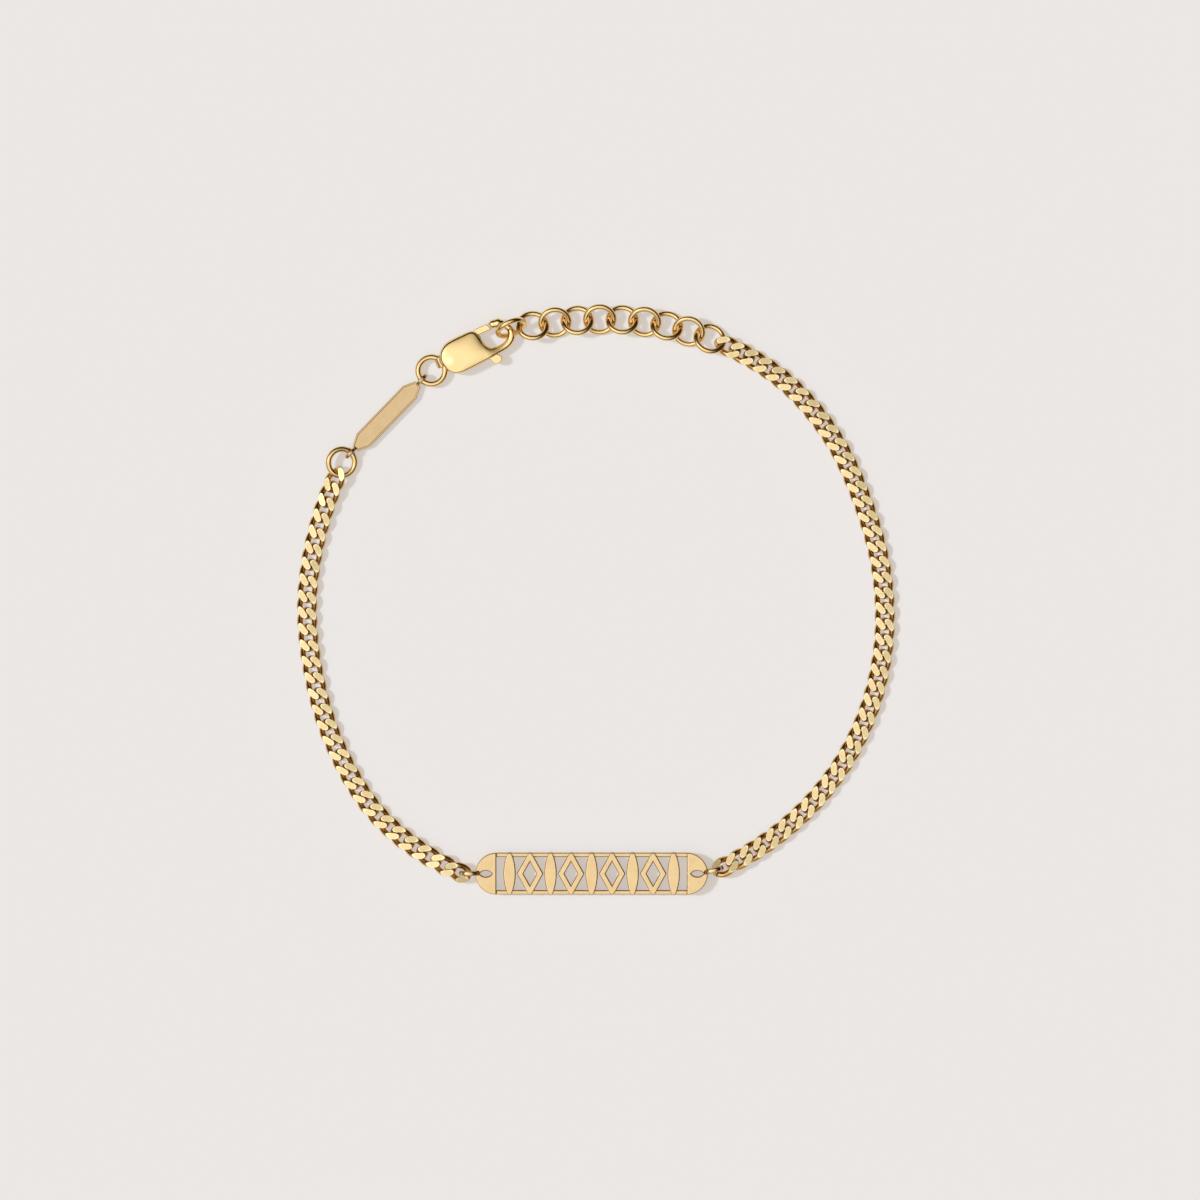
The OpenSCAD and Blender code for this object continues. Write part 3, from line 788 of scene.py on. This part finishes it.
def name_bar():
    """The nameplate: raised ornament, cut through, lower rails along both edges, and a ring on each end."""
    size = bpy.context.scene.bracelet_plate
    parts = [leaf_slab(k * MOTIF_STEP * MM, size) for k in (-4, -2, 0, 2, 4)]
    parts += [lozenge_slab(k * MOTIF_STEP * MM, size) for k in (-3, -1, 1, 3)]
    parts += [end_slab(side, size) for side in (-1, 1)]
    parts += [rail_slab(side, size) for side in (-1, 1)]
    for ring in PLATE_RINGS:
        turn = np.radians(ring["turn"])
        x = ring["side"] * size.long / 2 + PLATE_RING_REACH * MM * np.cos(turn)
        y = (ring["rise"] + PLATE_RING_REACH * np.sin(turn)) * MM
        parts.append(standing_ring(x, y, ring["turn"], size.ring_outside, size.ring_wire))
    points, normals, quads = gathered(parts)
    points[:, :2] += PLATE_AT * MM
    return piece("name_bar", points, quads, BODY, "nameplate", "plate_gold", normals)


# Tag

# From the tag's middle to its shoulders, width of its tips, its height above the floor, from its middle
# to its rings, and the distance between points of its outline, in mm
TAG_SHOULDER, TAG_TIP, TAG_REST, TAG_RING_AT, TAG_STEP = 3.4, 0.74, 0.2, 5.22, 0.5


def blank_tag():
    """The long tag, left bare: a sunk field inside a raised border, and a standing ring on each end."""
    size = bpy.context.scene.bracelet_tag
    long, wide, shoulder, tip = size.long / 2, size.wide / 2, TAG_SHOULDER * MM, TAG_TIP * MM / 2
    corners = np.array([[long, -tip], [long, tip], [shoulder, wide], [-shoulder, wide],
                        [-long, tip], [-long, -tip], [-shoulder, -wide], [shoulder, -wide]])
    counts = steps_along(corners, TAG_STEP * MM)
    outer, inner, under = (filled(moved_in(corners, d), counts) for d in (0, size.border, size.border / 2))
    rest = TAG_REST * MM
    border = slab(outer, inner, True, rest, rest + size.thick, size.round)
    field = slab(under, under * [0.8, 0], False, rest, rest + size.thick - size.sink, size.round / 3)
    rings = [standing_ring(x * MM, 0, 0, size.ring_outside, size.ring_wire)
             for x in (-TAG_RING_AT, TAG_RING_AT)]
    points, normals, quads = gathered([border, field, *rings])
    turn = rotations(0, 0, TAG_TURN)[0].T
    points = points @ turn + np.append(TAG_AT * MM, 0)
    return piece("blank_tag", points, quads, BODY, "tag", "tag_gold", normals @ turn)


# Clasp, with places in its own frame. Lengths are in mm and angles in degrees.

# Where the pin is, and the radii of the pin and of the lever's bore
PIN_AT = np.array([4.2, 0.6])
PIN_RADIUS, PIN_BORE = 0.22, 0.32
# The part of a circle that the hook's wire follows
HOOK_CENTRE, HOOK_BEND, HOOK_FIRST, HOOK_SWEEP = np.array([6.72, -0.02]), 1.15, -40, 108
# Radius of the lever's hub and of its gate's end, both about the pin, the X where the gate starts, and
# its middle and width along Y
HUB, GATE_REACH, GATE_FROM, GATE_Y, GATE_WIDE = 0.6, 1.94, 4.5, 1.28, 0.66
# Room for the lever: about its hub, for its arm from one angle to another as far as it reaches, and for
# its gate
HUB_ROOM, ARM_ROOM, GATE_ROOM = 0.95, (-124, -53, 4.2), (-38, 98)
# Between which X the body thins to its arm, and between which Y its rim gets its smaller rounding
ARM, LOW_SIDE = (4.6, 6.9), (0.4, -1.2)
# The power that shapes the dome, which makes it fuller where it is below 1
DOME_POWER = 0.85
# Outside diameter and width of the eye, the room in it about its ring's wire, and how round its edges are
EYE_OUTSIDE, EYE_WIDE, EYE_GAP, EYE_EDGE = 1.44, 1.05, 0.08, 0.1
# Fillets where the hook, its tip and the eye meet the body, and how far hole and slot have eased edges
HOOK_FILLET, TIP_FILLET, EYE_FILLET, HOLE_EDGE, SLOT_EDGE = 0.1, 0.08, 0.12, 0.05, 0.04
LEVER_FILLET, LEVER_EDGE = 0.05, 0.08
# Cells of the body's first plan, and how often its film is drawn out on it and on each finer one
FILM_STEP, FILM_ROUNDS = 0.12, (600, 400, 300)
# Room about a node's box for the grid that its surface is found on
SPARE_ROOM = 0.25


def smooth_outline(corners, per_side=12):
    """A closed outline through its corners, bent by a cubic between each two."""
    share = (np.arange(per_side) / per_side)[:, None, None]
    curve = cubic(*(np.roll(np.array(corners, float), k, 0) for k in (1, 0, -1, -2)), share)
    return curve.transpose(1, 0, 2).reshape(-1, 2)


def neighbours(grid):
    """The sum of the four values about each one inside a grid's rim."""
    return grid[2:, 1:-1] + grid[:-2, 1:-1] + grid[1:-1, 2:] + grid[1:-1, :-2]


class BodyPlan:
    """The body's plan, kept on a grid: the distance to its outline, and the height of a soap film blown up
    over it, where one is the film's highest point. For the film each value is pulled to the mean of its four
    neighbours and lifted by the same amount, over and over, on grids that get finer."""

    def __init__(self, corners):
        corners = smooth_outline(corners) * MM
        self.step = FILM_STEP * MM
        self.low = corners.min(0) - 4 * self.step
        span = corners.max(0) + 4 * self.step - self.low
        shape = np.ceil(span / self.step).astype(int) + 1
        film = np.zeros(shape)
        for rounds in FILM_ROUNDS:
            x, y = (self.low[k] + np.arange(film.shape[k]) * self.step for k in (0, 1))
            outline = polygon_outline(x[:, None], y[None, :], corners)
            inside = (outline < 0)[1:-1, 1:-1]
            for _ in range(rounds):
                film[1:-1, 1:-1] = np.where(inside, neighbours(film) / 4 + self.step ** 2 / 4, 0)
            if rounds != FILM_ROUNDS[-1]:
                film = self.doubled(film)
                self.step /= 2
        self.film = self.softened(film / film.max())
        self.outline = outline

    @staticmethod
    def doubled(grid):
        """The grid with a new value halfway between each two."""
        tall = np.empty((2 * grid.shape[0] - 1, grid.shape[1]))
        tall[::2], tall[1::2] = grid, (grid[1:] + grid[:-1]) / 2
        both = np.empty((tall.shape[0], 2 * tall.shape[1] - 1))
        both[:, ::2], both[:, 1::2] = tall, (tall[:, 1:] + tall[:, :-1]) / 2
        return both

    @staticmethod
    def softened(grid):
        """The grid with its smallest steps blurred."""
        for _ in range(2):
            grid = np.pad(grid, 1, mode="edge")
            grid = (4 * grid[1:-1, 1:-1] + neighbours(grid)) / 8
        return grid

    def at(self, grid, x, y):
        """A grid's value at points, from a smooth surface through it."""
        value = 0
        u, v = (x - self.low[0]) / self.step, (y - self.low[1]) / self.step
        i, j = np.floor(u).astype(int), np.floor(v).astype(int)
        wu, wv = spline_weights(u - i), spline_weights(v - j)
        for a in range(4):
            for b in range(4):
                ia = np.clip(i + a - 1, 0, grid.shape[0] - 1)
                jb = np.clip(j + b - 1, 0, grid.shape[1] - 1)
                value = value + wu[a] * wv[b] * grid[ia, jb]
        return value


def spline_weights(f):
    """Weights of the four grid values about a point, for a surface with no kinks."""
    g = 1 - f
    return [g ** 3 / 6, (3 * f ** 3 - 6 * f ** 2 + 4) / 6, (3 * g ** 3 - 6 * g ** 2 + 4) / 6, f ** 3 / 6]


def to_clasp(x, y):
    """Coordinates in the clasp's own frame."""
    turn = np.radians(CLASP_TURN)
    x, y = x - CLASP_AT[0] * MM, y - CLASP_AT[1] * MM
    return x * np.cos(turn) + y * np.sin(turn), -x * np.sin(turn) + y * np.cos(turn)


def slot_plan(x, y):
    """Plan of the room that the lever turns in."""
    px, py = x - PIN_AT[0] * MM, y - PIN_AT[1] * MM
    gap = bpy.context.scene.bracelet_clasp.gap
    start, end, reach = ARM_ROOM
    plan = np.minimum(np.hypot(px, py) - HUB_ROOM * MM, wedge_outline(px, py, start, end, reach * MM))
    return np.minimum(plan, wedge_outline(px, py, *GATE_ROOM, GATE_REACH * MM + gap))


def eased_share(value, start, end):
    """How far a value has come from start to end, from 0 to 1, without a kink at either."""
    share = np.clip((value - start) / (end - start), 0, 1)
    return share * share * (3 - 2 * share)


def tapered_bar(x, y, h, start, end):
    """Distance to a round bar that tapers between two balls, each given as [x, y, radius] in mm."""
    (ax, ay, ar), (bx, by, br) = start, end
    dx, dy = bx - ax, by - ay
    share = np.clip(((x / MM - ax) * dx + (y / MM - ay) * dy) / (dx * dx + dy * dy), 0, 1)
    reach = np.hypot(x - (ax + share * dx) * MM, y - (ay + share * dy) * MM)
    return np.hypot(reach, h) - (ar + share * (br - ar)) * MM


def domed_field(plan, x, y, h, size):
    """The body: its plan raised to a dome with a rounded rim, which thins along the arm."""
    share = eased_share(x / MM, *ARM)
    edge = size.edge + eased_share(y / MM, *LOW_SIDE) * (size.low_edge - size.edge)
    edge = edge + share * (size.arm_edge - edge)
    dome = np.maximum(plan.at(plan.film, x, y), 0) ** DOME_POWER
    top = size.rim / 2 + (size.thick - size.rim) / 2 * dome + share * (size.arm - size.rim) / 2
    return raised(plan.at(plan.outline, x, y), h, -top, top, edge)


def hook_field(x, y, h, size):
    """The hook: wire carried round part of a circle, its height pressed to the arm's thickness."""
    x, y = x - HOOK_CENTRE[0] * MM, y - HOOK_CENTRE[1] * MM
    half, middle = np.radians(HOOK_SWEEP / 2), np.radians(HOOK_FIRST + HOOK_SWEEP / 2)
    around = np.arctan2(y, x) - middle
    around = np.clip((around + np.pi) % (2 * np.pi) - np.pi, -half, half) + middle
    across = np.hypot(x - HOOK_BEND * MM * np.cos(around), y - HOOK_BEND * MM * np.sin(around))
    return np.hypot(across, h * (size.hook_wire / size.arm)) - size.hook_wire / 2


def clasp_field(plan):
    """The clasp's body: a dome that runs out into a hook with a swollen tip, and an eye with a hole for its
    ring, without the slot that the lever turns in, and with the lever's pin."""
    size = bpy.context.scene.bracelet_clasp
    rounds = bpy.context.scene.bracelet_round
    ring_radius = (rounds.ring_outside - rounds.ring_wire) / 2

    def field(x, y, z):
        x, y = to_clasp(x, y)
        h = z - size.thick / 2
        solid = joined(domed_field(plan, x, y, h, size), hook_field(x, y, h, size), HOOK_FILLET * MM)
        for start, end in zip(HOOK_TIP, HOOK_TIP[1:]):
            solid = joined(solid, tapered_bar(x, y, h, start, end), TIP_FILLET * MM)
        ex, ey, ez = x - EYE_RING_AT[0] * MM, y - EYE_RING_AT[1] * MM, z - EYE_RING_AT[2] * MM
        eye = np.hypot(ex - ring_radius, ez) - EYE_OUTSIDE / 2 * MM
        eye = raised(eye, y, -EYE_WIDE / 2 * MM, EYE_WIDE / 2 * MM, EYE_EDGE * MM)
        hole = ring_field(ex, ey, ez, ring_radius, rounds.ring_wire + 2 * EYE_GAP * MM)
        solid = cut(joined(solid, eye, EYE_FILLET * MM), hole, HOLE_EDGE * MM)
        slot = np.maximum(slot_plan(x, y), np.abs(h) - size.lever_thick / 2 - size.gap)
        pin = np.hypot(x - PIN_AT[0] * MM, y - PIN_AT[1] * MM) - PIN_RADIUS * MM
        pin = np.maximum(pin, np.abs(h) - size.lever_thick / 2 - 2 * size.gap)
        return np.minimum(cut(solid, slot, SLOT_EDGE * MM), pin)

    return field


def room_about(node):
    """Lowest and highest corners of a node's box with a little room about it."""
    low, high = (np.array(corner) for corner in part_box(node))
    return low - SPARE_ROOM * MM, high + SPARE_ROOM * MM


def clasp_shell():
    """The clasp's cast body with its hook, eye and pin."""
    size = bpy.context.scene.bracelet_clasp
    low, high = room_about("clasp_body")
    points, quads, normals = surface_nets(clasp_field(BodyPlan(CLASP_PLAN)), low, high, size.grid)
    return piece("clasp_shell", points, quads, BODY, "clasp_body", "cast_gold", normals)


def lever_field(x, y, z):
    """The lever: a hub about the pin, a gate whose end is an arc about the pin, and an arm with a thumb
    piece."""
    size = bpy.context.scene.bracelet_clasp
    x, y = to_clasp(x, y)
    px, py = x - PIN_AT[0] * MM, y - PIN_AT[1] * MM
    gate = np.maximum(np.abs(y - GATE_Y * MM) - GATE_WIDE / 2 * MM, GATE_FROM * MM - x)
    gate = np.maximum(gate, np.hypot(px, py) - GATE_REACH * MM)
    plan = np.minimum(gate, np.hypot(px, py) - HUB * MM)
    for ax, ay, bx, by, wide in LEVER_BARS:
        bar = bar_outline(x, y, ax * MM, ay * MM, bx * MM, by * MM, wide * MM)
        plan = joined(plan, bar, LEVER_FILLET * MM)
    plan = np.maximum(plan, PIN_BORE * MM - np.hypot(px, py))
    middle, half = size.thick / 2, size.lever_thick / 2
    return raised(plan, z, middle - half, middle + half, LEVER_EDGE * MM)


def clasp_gate():
    """The clasp's lever, which rides on its own body."""
    size = bpy.context.scene.bracelet_clasp
    low, high = room_about("clasp_lever")
    points, quads, normals = surface_nets(lever_field, low, high, size.grid * 0.8)
    return piece("clasp_gate", points, quads, LEVER, "clasp_lever", "cast_gold", normals)


# Materials

# Sizes of what polishing and handling leave, in mm: the clouds of a finger mark, the spacing and depth of
# polishing lines, and the marks of the file on the curb chain's flats. Real lines and file marks are
# finer, but wouldn't show.
FINGER_MARK, POLISH_LINE, LINE_DEPTH, FILE_MARK = 0.9, 0.5, 0.01, 0.09
# How the polishing lines are turned and drawn out
LINE_TURN, LINE_STRETCH = (0, 0, 0.6), (1.0, 9.0, 3.0)
# The golds, in columns [name, deeper tone, roughness, grain in mm, strength of the polishing lines]
GOLDS = {
    # Drawn and tumbled bright, so it mirrors its surroundings with a slight blur
    "wire_gold": ("Drawn gold wire, tumbled bright", "EBC888", 0.16, 0.12, 0.06),
    # The flats are paler and blur more than the wire's round sides, whose deeper colour is painted shade
    # between the links
    "curb_gold": ("Curb gold, filed flat and burnished", "D2A868", 0.2, 0.12, 0.06),
    # Mirror polished, so broad soft lights show as clean gradients
    "cast_gold": ("Cast gold, mirror polished", "F1D295", 0.14, 0.2, 0.04),
    # Polished soft, so its flat face shows one even tone with a fine drift
    "plate_gold": ("Cast gold, polished soft", "D4B484", 0.2, 0.3, 0.04),
    # Stamped and lightly brushed, and a little redder than the rest
    "tag_gold": ("Stamped gold, lightly brushed", "C6A87C", 0.2, 0.3, 0.04),
}
# The deepest tone that a flat of the curb chain can have, which the flats on the run's left near as painted
# shade, and the painted highlight along a flat's edge
DEEP_AND_SHADED_FLAT, PAINTED_EDGE_HIGHLIGHT = "DCCB96", "FFF0C4"


def add_node(tree, kind, settings=None, inputs=None):
    """Adds a node, sets what is its own, and gives each input its value or its link."""
    node = tree.nodes.new(kind)
    for name, value in (settings or {}).items():
        setattr(node, name, value)
    for name, value in (inputs or {}).items():
        if isinstance(value, bpy.types.NodeSocket):
            tree.links.new(value, node.inputs[name])
        else:
            node.inputs[name].default_value = value
    return node


def gold(kind):
    """Yellow gold: a noise the size of a finger mark drifts the colour towards a deeper one, a fine grain
    varies how much it blurs, and polishing lines finer than a hair lift the surface a little."""
    name, deeper, rough, grain, lines = GOLDS[kind]
    found = bpy.data.materials.get(name)
    if found:
        return found
    tone = tuple(getattr(bpy.context.scene.bracelet_finish, kind))
    material = bpy.data.materials.new(name)
    material.use_nodes = True
    tree = material.node_tree
    tree.nodes.clear()
    place = add_node(tree, "ShaderNodeTexCoord").outputs["Object"]
    drift = add_node(tree, "ShaderNodeTexNoise", inputs={
        "Vector": place, "Scale": 1 / (FINGER_MARK * MM), "Detail": 3.0})
    mix = add_node(tree, "ShaderNodeMix", {"data_type": "RGBA"},
                   {0: drift.outputs["Fac"], 6: tone, 7: linear(deeper)})
    fine = add_node(tree, "ShaderNodeTexNoise", inputs={
        "Vector": place, "Scale": 1 / (grain * MM), "Detail": 4.0})
    blur = add_node(tree, "ShaderNodeMapRange", inputs={
        "Value": fine.outputs["Fac"], "From Min": 0.3, "From Max": 0.7,
        "To Min": rough * 0.75, "To Max": rough * 1.3})
    stretch = add_node(tree, "ShaderNodeMapping", inputs={
        "Vector": place, "Rotation": LINE_TURN, "Scale": LINE_STRETCH})
    rub = add_node(tree, "ShaderNodeTexNoise", inputs={
        "Vector": stretch.outputs["Vector"], "Scale": 1 / (POLISH_LINE * MM), "Detail": 5.0})
    bump = add_node(tree, "ShaderNodeBump", inputs={
        "Height": rub.outputs["Fac"], "Strength": lines, "Distance": LINE_DEPTH * MM})
    shader = add_node(tree, "ShaderNodeBsdfPrincipled", inputs={
        "Base Color": mix.outputs[2], "Metallic": 1.0, "Roughness": blur.outputs["Result"],
        "Normal": bump.outputs["Normal"]})
    add_node(tree, "ShaderNodeOutputMaterial", inputs={"Surface": shader.outputs["BSDF"]})
    if kind == "curb_gold":
        add_filing(tree, mix.outputs[2], blur.outputs["Result"], shader)
    return material


def add_filing(tree, colour_in, rough_in, shader):
    """Gives the curb chain's gold its filed flats: where the file went, each flat has its own pale tone,
    deeper on the run's left as painted shade, speckled by the file and painted bright at its edge as a
    painted highlight, and blurs a little more. Depths are in mm."""
    depth = add_node(tree, "ShaderNodeAttribute", {"attribute_name": "filed"}).outputs["Fac"]
    tone = add_node(tree, "ShaderNodeAttribute", {"attribute_name": "tone"}).outputs["Fac"]
    place = add_node(tree, "ShaderNodeTexCoord").outputs["Object"]
    flat = add_node(tree, "ShaderNodeMapRange", inputs={"Value": depth, "From Min": 0.0, "From Max": 0.02})
    # Painted highlight: a band along each flat's edge, where the file only just went, is painted bright
    rim = add_node(tree, "ShaderNodeMapRange", inputs={"Value": depth, "From Min": 0.12, "From Max": 0.04})
    marks = add_node(tree, "ShaderNodeTexNoise", inputs={
        "Vector": place, "Scale": 1 / (FILE_MARK * MM), "Detail": 2.0})
    grit = add_node(tree, "ShaderNodeMapRange", inputs={
        "Value": marks.outputs["Fac"], "From Min": 0.35, "From Max": 0.65, "To Min": 0.84, "To Max": 1.04})
    # The flat's colour: its random tone, deepened on the run's left as painted shade
    pale = add_node(tree, "ShaderNodeMix", {"data_type": "RGBA"}, {
        0: tone, 6: tuple(bpy.context.scene.bracelet_finish.filed_gold), 7: linear(DEEP_AND_SHADED_FLAT)})
    speckled = add_node(tree, "ShaderNodeVectorMath", {"operation": "SCALE"},
                        {0: pale.outputs[2], "Scale": grit.outputs["Result"]})
    edge_highlighted = add_node(tree, "ShaderNodeMix", {"data_type": "RGBA"},
                     {0: rim.outputs["Result"], 6: speckled.outputs["Vector"], 7: linear(PAINTED_EDGE_HIGHLIGHT)})
    both = add_node(tree, "ShaderNodeMix", {"data_type": "RGBA"},
                    {0: flat.outputs["Result"], 6: colour_in, 7: edge_highlighted.outputs[2]})
    blur = add_node(tree, "ShaderNodeMath", {"operation": "MULTIPLY_ADD"},
                    {0: flat.outputs["Result"], 1: 0.06, 2: rough_in})
    tree.links.new(both.outputs[2], shader.inputs["Base Color"])
    tree.links.new(blur.outputs[0], shader.inputs["Roughness"])


def floor_material():
    """Matt white acrylic lit from below, which keeps the shadows pale and the small openings bright."""
    stage = bpy.context.scene.bracelet_stage
    material = bpy.data.materials.new("Matt white acrylic, lit from below")
    material.use_nodes = True
    shader = material.node_tree.nodes["Principled BSDF"]
    shader.inputs["Base Color"].default_value = stage.floor
    shader.inputs["Emission Color"].default_value = stage.glow
    shader.inputs["Emission Strength"].default_value = 1.0
    shader.inputs["Roughness"].default_value = 1.0
    shader.inputs["Specular IOR Level"].default_value = 0.0
    return material


# Stage

# The sky's colours, from behind to ahead of one direction
SKY_TOWARDS = (-0.28, -0.24, 0.93)
SKY_STOPS = [(0.0, "2A1F12"), (0.4, "34281A"), (0.6, "54452F"), (0.74, "CFCBC4"), (0.87, "F2F2F0"),
             (0.93, "FFFFFF"), (1.0, "F4F4F4")]
# Soft boxes that add to the sky, in columns [towards, full within, gone beyond, colour], angles in degrees
SOFT_BOXES = [((-0.637, 0.089, 0.766), 5, 20, "FFF4EE"), ((-0.311, -0.14, 0.94), 2, 9, "D8C8D0")]
# Where the key light comes from, its height and how far it spreads, in degrees
KEY_FROM, KEY_HEIGHT, KEY_SPREAD = 172, 50, 7
# Half the floor's side and the camera's height, in metres, and the point that it stands over, in mm
FLOOR_HALF = 1.5
CAMERA_HEIGHT = 0.7
CAMERA_AT = (0.4, -0.05)


def sky(stage):
    """Soft light from all round: brightest above and to the left, and dark low down, which draws the gold's
    edges. Two soft boxes on the left add their glow."""
    world = bpy.data.worlds.new("studio")
    bpy.context.scene.world = world
    world.use_nodes = True
    tree = world.node_tree
    tree.nodes.clear()
    way = add_node(tree, "ShaderNodeTexCoord").outputs["Generated"]
    height = add_node(tree, "ShaderNodeVectorMath", {"operation": "DOT_PRODUCT"}, {0: way, 1: SKY_TOWARDS})
    ramp = add_node(tree, "ShaderNodeValToRGB", inputs={"Fac": height.outputs["Value"]})
    ramp.color_ramp.interpolation = "B_SPLINE"
    stops = ramp.color_ramp.elements
    for place, _ in SKY_STOPS[1:-1]:
        stops.new(place)
    for stop, (place, code) in zip(stops, SKY_STOPS):
        stop.position, stop.color = place, linear(code)
    light = ramp.outputs["Color"]
    for towards, inner, outer, code in SOFT_BOXES:
        near = add_node(tree, "ShaderNodeVectorMath", {"operation": "DOT_PRODUCT"}, {0: way, 1: towards})
        box = add_node(tree, "ShaderNodeMapRange", {"interpolation_type": "SMOOTHSTEP"}, {
            "Value": near.outputs["Value"], "From Min": np.cos(np.radians(outer)),
            "From Max": np.cos(np.radians(inner))})
        light = add_node(tree, "ShaderNodeMix", {"data_type": "RGBA", "blend_type": "ADD"},
                         {0: box.outputs["Result"], 6: light, 7: linear(code)}).outputs[2]
    glow = add_node(tree, "ShaderNodeBackground", inputs={"Color": light, "Strength": stage.sky})
    add_node(tree, "ShaderNodeOutputWorld", inputs={"Surface": glow.outputs["Background"]})


def key_light(stage):
    """One lamp high on the left, small enough for the shadows to keep their shape. The gold mirrors the soft
    boxes in its place, because so small a lamp would burn out."""
    lamp = bpy.data.lights.new("key", "SUN")
    lamp.energy = stage.key
    lamp.color = stage.key_colour[:3]
    lamp.angle = np.radians(KEY_SPREAD)
    obj = bpy.data.objects.new("key", lamp)
    obj.visible_glossy = False
    obj.rotation_euler = (0, np.radians(90 - KEY_HEIGHT), np.radians(KEY_FROM))
    bpy.context.scene.collection.objects.link(obj)


def overhead_camera(stage):
    """A long lens that looks straight down, with the bracelet where the picture has it."""
    camera = bpy.data.cameras.new("overhead")
    camera.sensor_width = 36
    camera.lens = camera.sensor_width * CAMERA_HEIGHT / stage.frame_wide
    camera.clip_start, camera.clip_end = 0.01, 20
    obj = bpy.data.objects.new("overhead", camera)
    obj.location = (CAMERA_AT[0] * MM, CAMERA_AT[1] * MM, CAMERA_HEIGHT)
    bpy.context.scene.collection.objects.link(obj)
    bpy.context.scene.camera = obj


def floor_plane(stage):
    """A flat floor at the height that the bracelet lies on."""
    corners = [(x * FLOOR_HALF, y * FLOOR_HALF, 0) for x, y in ((-1, -1), (1, -1), (1, 1), (-1, 1))]
    mesh = bpy.data.meshes.new("floor")
    mesh.from_pydata(corners, [], [(0, 1, 2, 3)])
    mesh.materials.append(floor_material())
    obj = bpy.data.objects.new("floor", mesh)
    bpy.context.scene.collection.objects.link(obj)


# Operators


class MakeCurbChains(bpy.types.Operator):
    """Makes both runs of curb links"""
    bl_idname = "bracelet.curb_chains"
    bl_label = "Curb chains"

    def execute(self, context):
        size = context.scene.bracelet_curb
        curb_chain("links_left", "curb_chain_left", LEFT_RUN, LEFT_ENDS, size.links_left,
                   TO_JUMP_RING, TO_LEFT_PLATE_RING, seed=11)
        curb_chain("links_right", "curb_chain_right", RIGHT_RUN, RIGHT_ENDS, size.links_right,
                   TO_ROUND_LINK, TO_RIGHT_PLATE_RING, seed=23)
        return {"FINISHED"}


class MakeRoundLinks(bpy.types.Operator):
    """Makes the extender's round links"""
    bl_idname = "bracelet.round_links"
    bl_label = "Round links"

    def execute(self, context):
        round_chain()
        return {"FINISHED"}


class MakeRings(bpy.types.Operator):
    """Makes the hooked link and the two plain rings"""
    bl_idname = "bracelet.rings"
    bl_label = "Rings"

    def execute(self, context):
        plain_rings()
        return {"FINISHED"}


class MakeNameplate(bpy.types.Operator):
    """Makes the cut-through nameplate"""
    bl_idname = "bracelet.nameplate"
    bl_label = "Nameplate"

    def execute(self, context):
        name_bar()
        return {"FINISHED"}


class MakeTag(bpy.types.Operator):
    """Makes the long bare tag"""
    bl_idname = "bracelet.tag"
    bl_label = "Tag"

    def execute(self, context):
        blank_tag()
        return {"FINISHED"}


class MakeClasp(bpy.types.Operator):
    """Makes the clasp's body and its lever"""
    bl_idname = "bracelet.clasp"
    bl_label = "Clasp"

    def execute(self, context):
        clasp_shell()
        clasp_gate()
        return {"FINISHED"}


class MakeStage(bpy.types.Operator):
    """Makes the floor, the lights and the camera"""
    bl_idname = "bracelet.stage"
    bl_label = "Stage"

    def execute(self, context):
        stage = context.scene.bracelet_stage
        context.scene.view_settings.view_transform = "Standard"
        sky(stage)
        key_light(stage)
        floor_plane(stage)
        overhead_camera(stage)
        return {"FINISHED"}


OPERATORS = [MakeCurbChains, MakeRoundLinks, MakeRings, MakeNameplate, MakeTag, MakeClasp, MakeStage]


class BraceletPanel(bpy.types.Panel):
    """Lists the bracelet's operators and sizes"""
    bl_idname = "VIEW3D_PT_bracelet"
    bl_label = "Bracelet"
    bl_space_type = "VIEW_3D"
    bl_region_type = "UI"
    bl_category = "Bracelet"

    def draw(self, context):
        for operator in OPERATORS:
            self.layout.operator(operator.bl_idname)
        for name, group in GROUPS.items():
            box = self.layout.box()
            for prop in group.__annotations__:
                box.prop(getattr(context.scene, name), prop)


def register():
    """Tells Blender of the sizes, the operators and the panel."""
    for cls in [*GROUPS.values(), *OPERATORS, BraceletPanel]:
        bpy.utils.register_class(cls)
    for name, group in GROUPS.items():
        setattr(bpy.types.Scene, name, PointerProperty(type=group))


def unregister():
    """Takes them out again."""
    for name in GROUPS:
        delattr(bpy.types.Scene, name)
    for cls in reversed([*GROUPS.values(), *OPERATORS, BraceletPanel]):
        bpy.utils.unregister_class(cls)


def main():
    """Makes the stage and then every piece."""
    register()
    bpy.ops.bracelet.stage()
    bpy.ops.bracelet.curb_chains()
    bpy.ops.bracelet.round_links()
    bpy.ops.bracelet.rings()
    bpy.ops.bracelet.nameplate()
    bpy.ops.bracelet.tag()
    bpy.ops.bracelet.clasp()


if __name__ == "__main__":
    main()
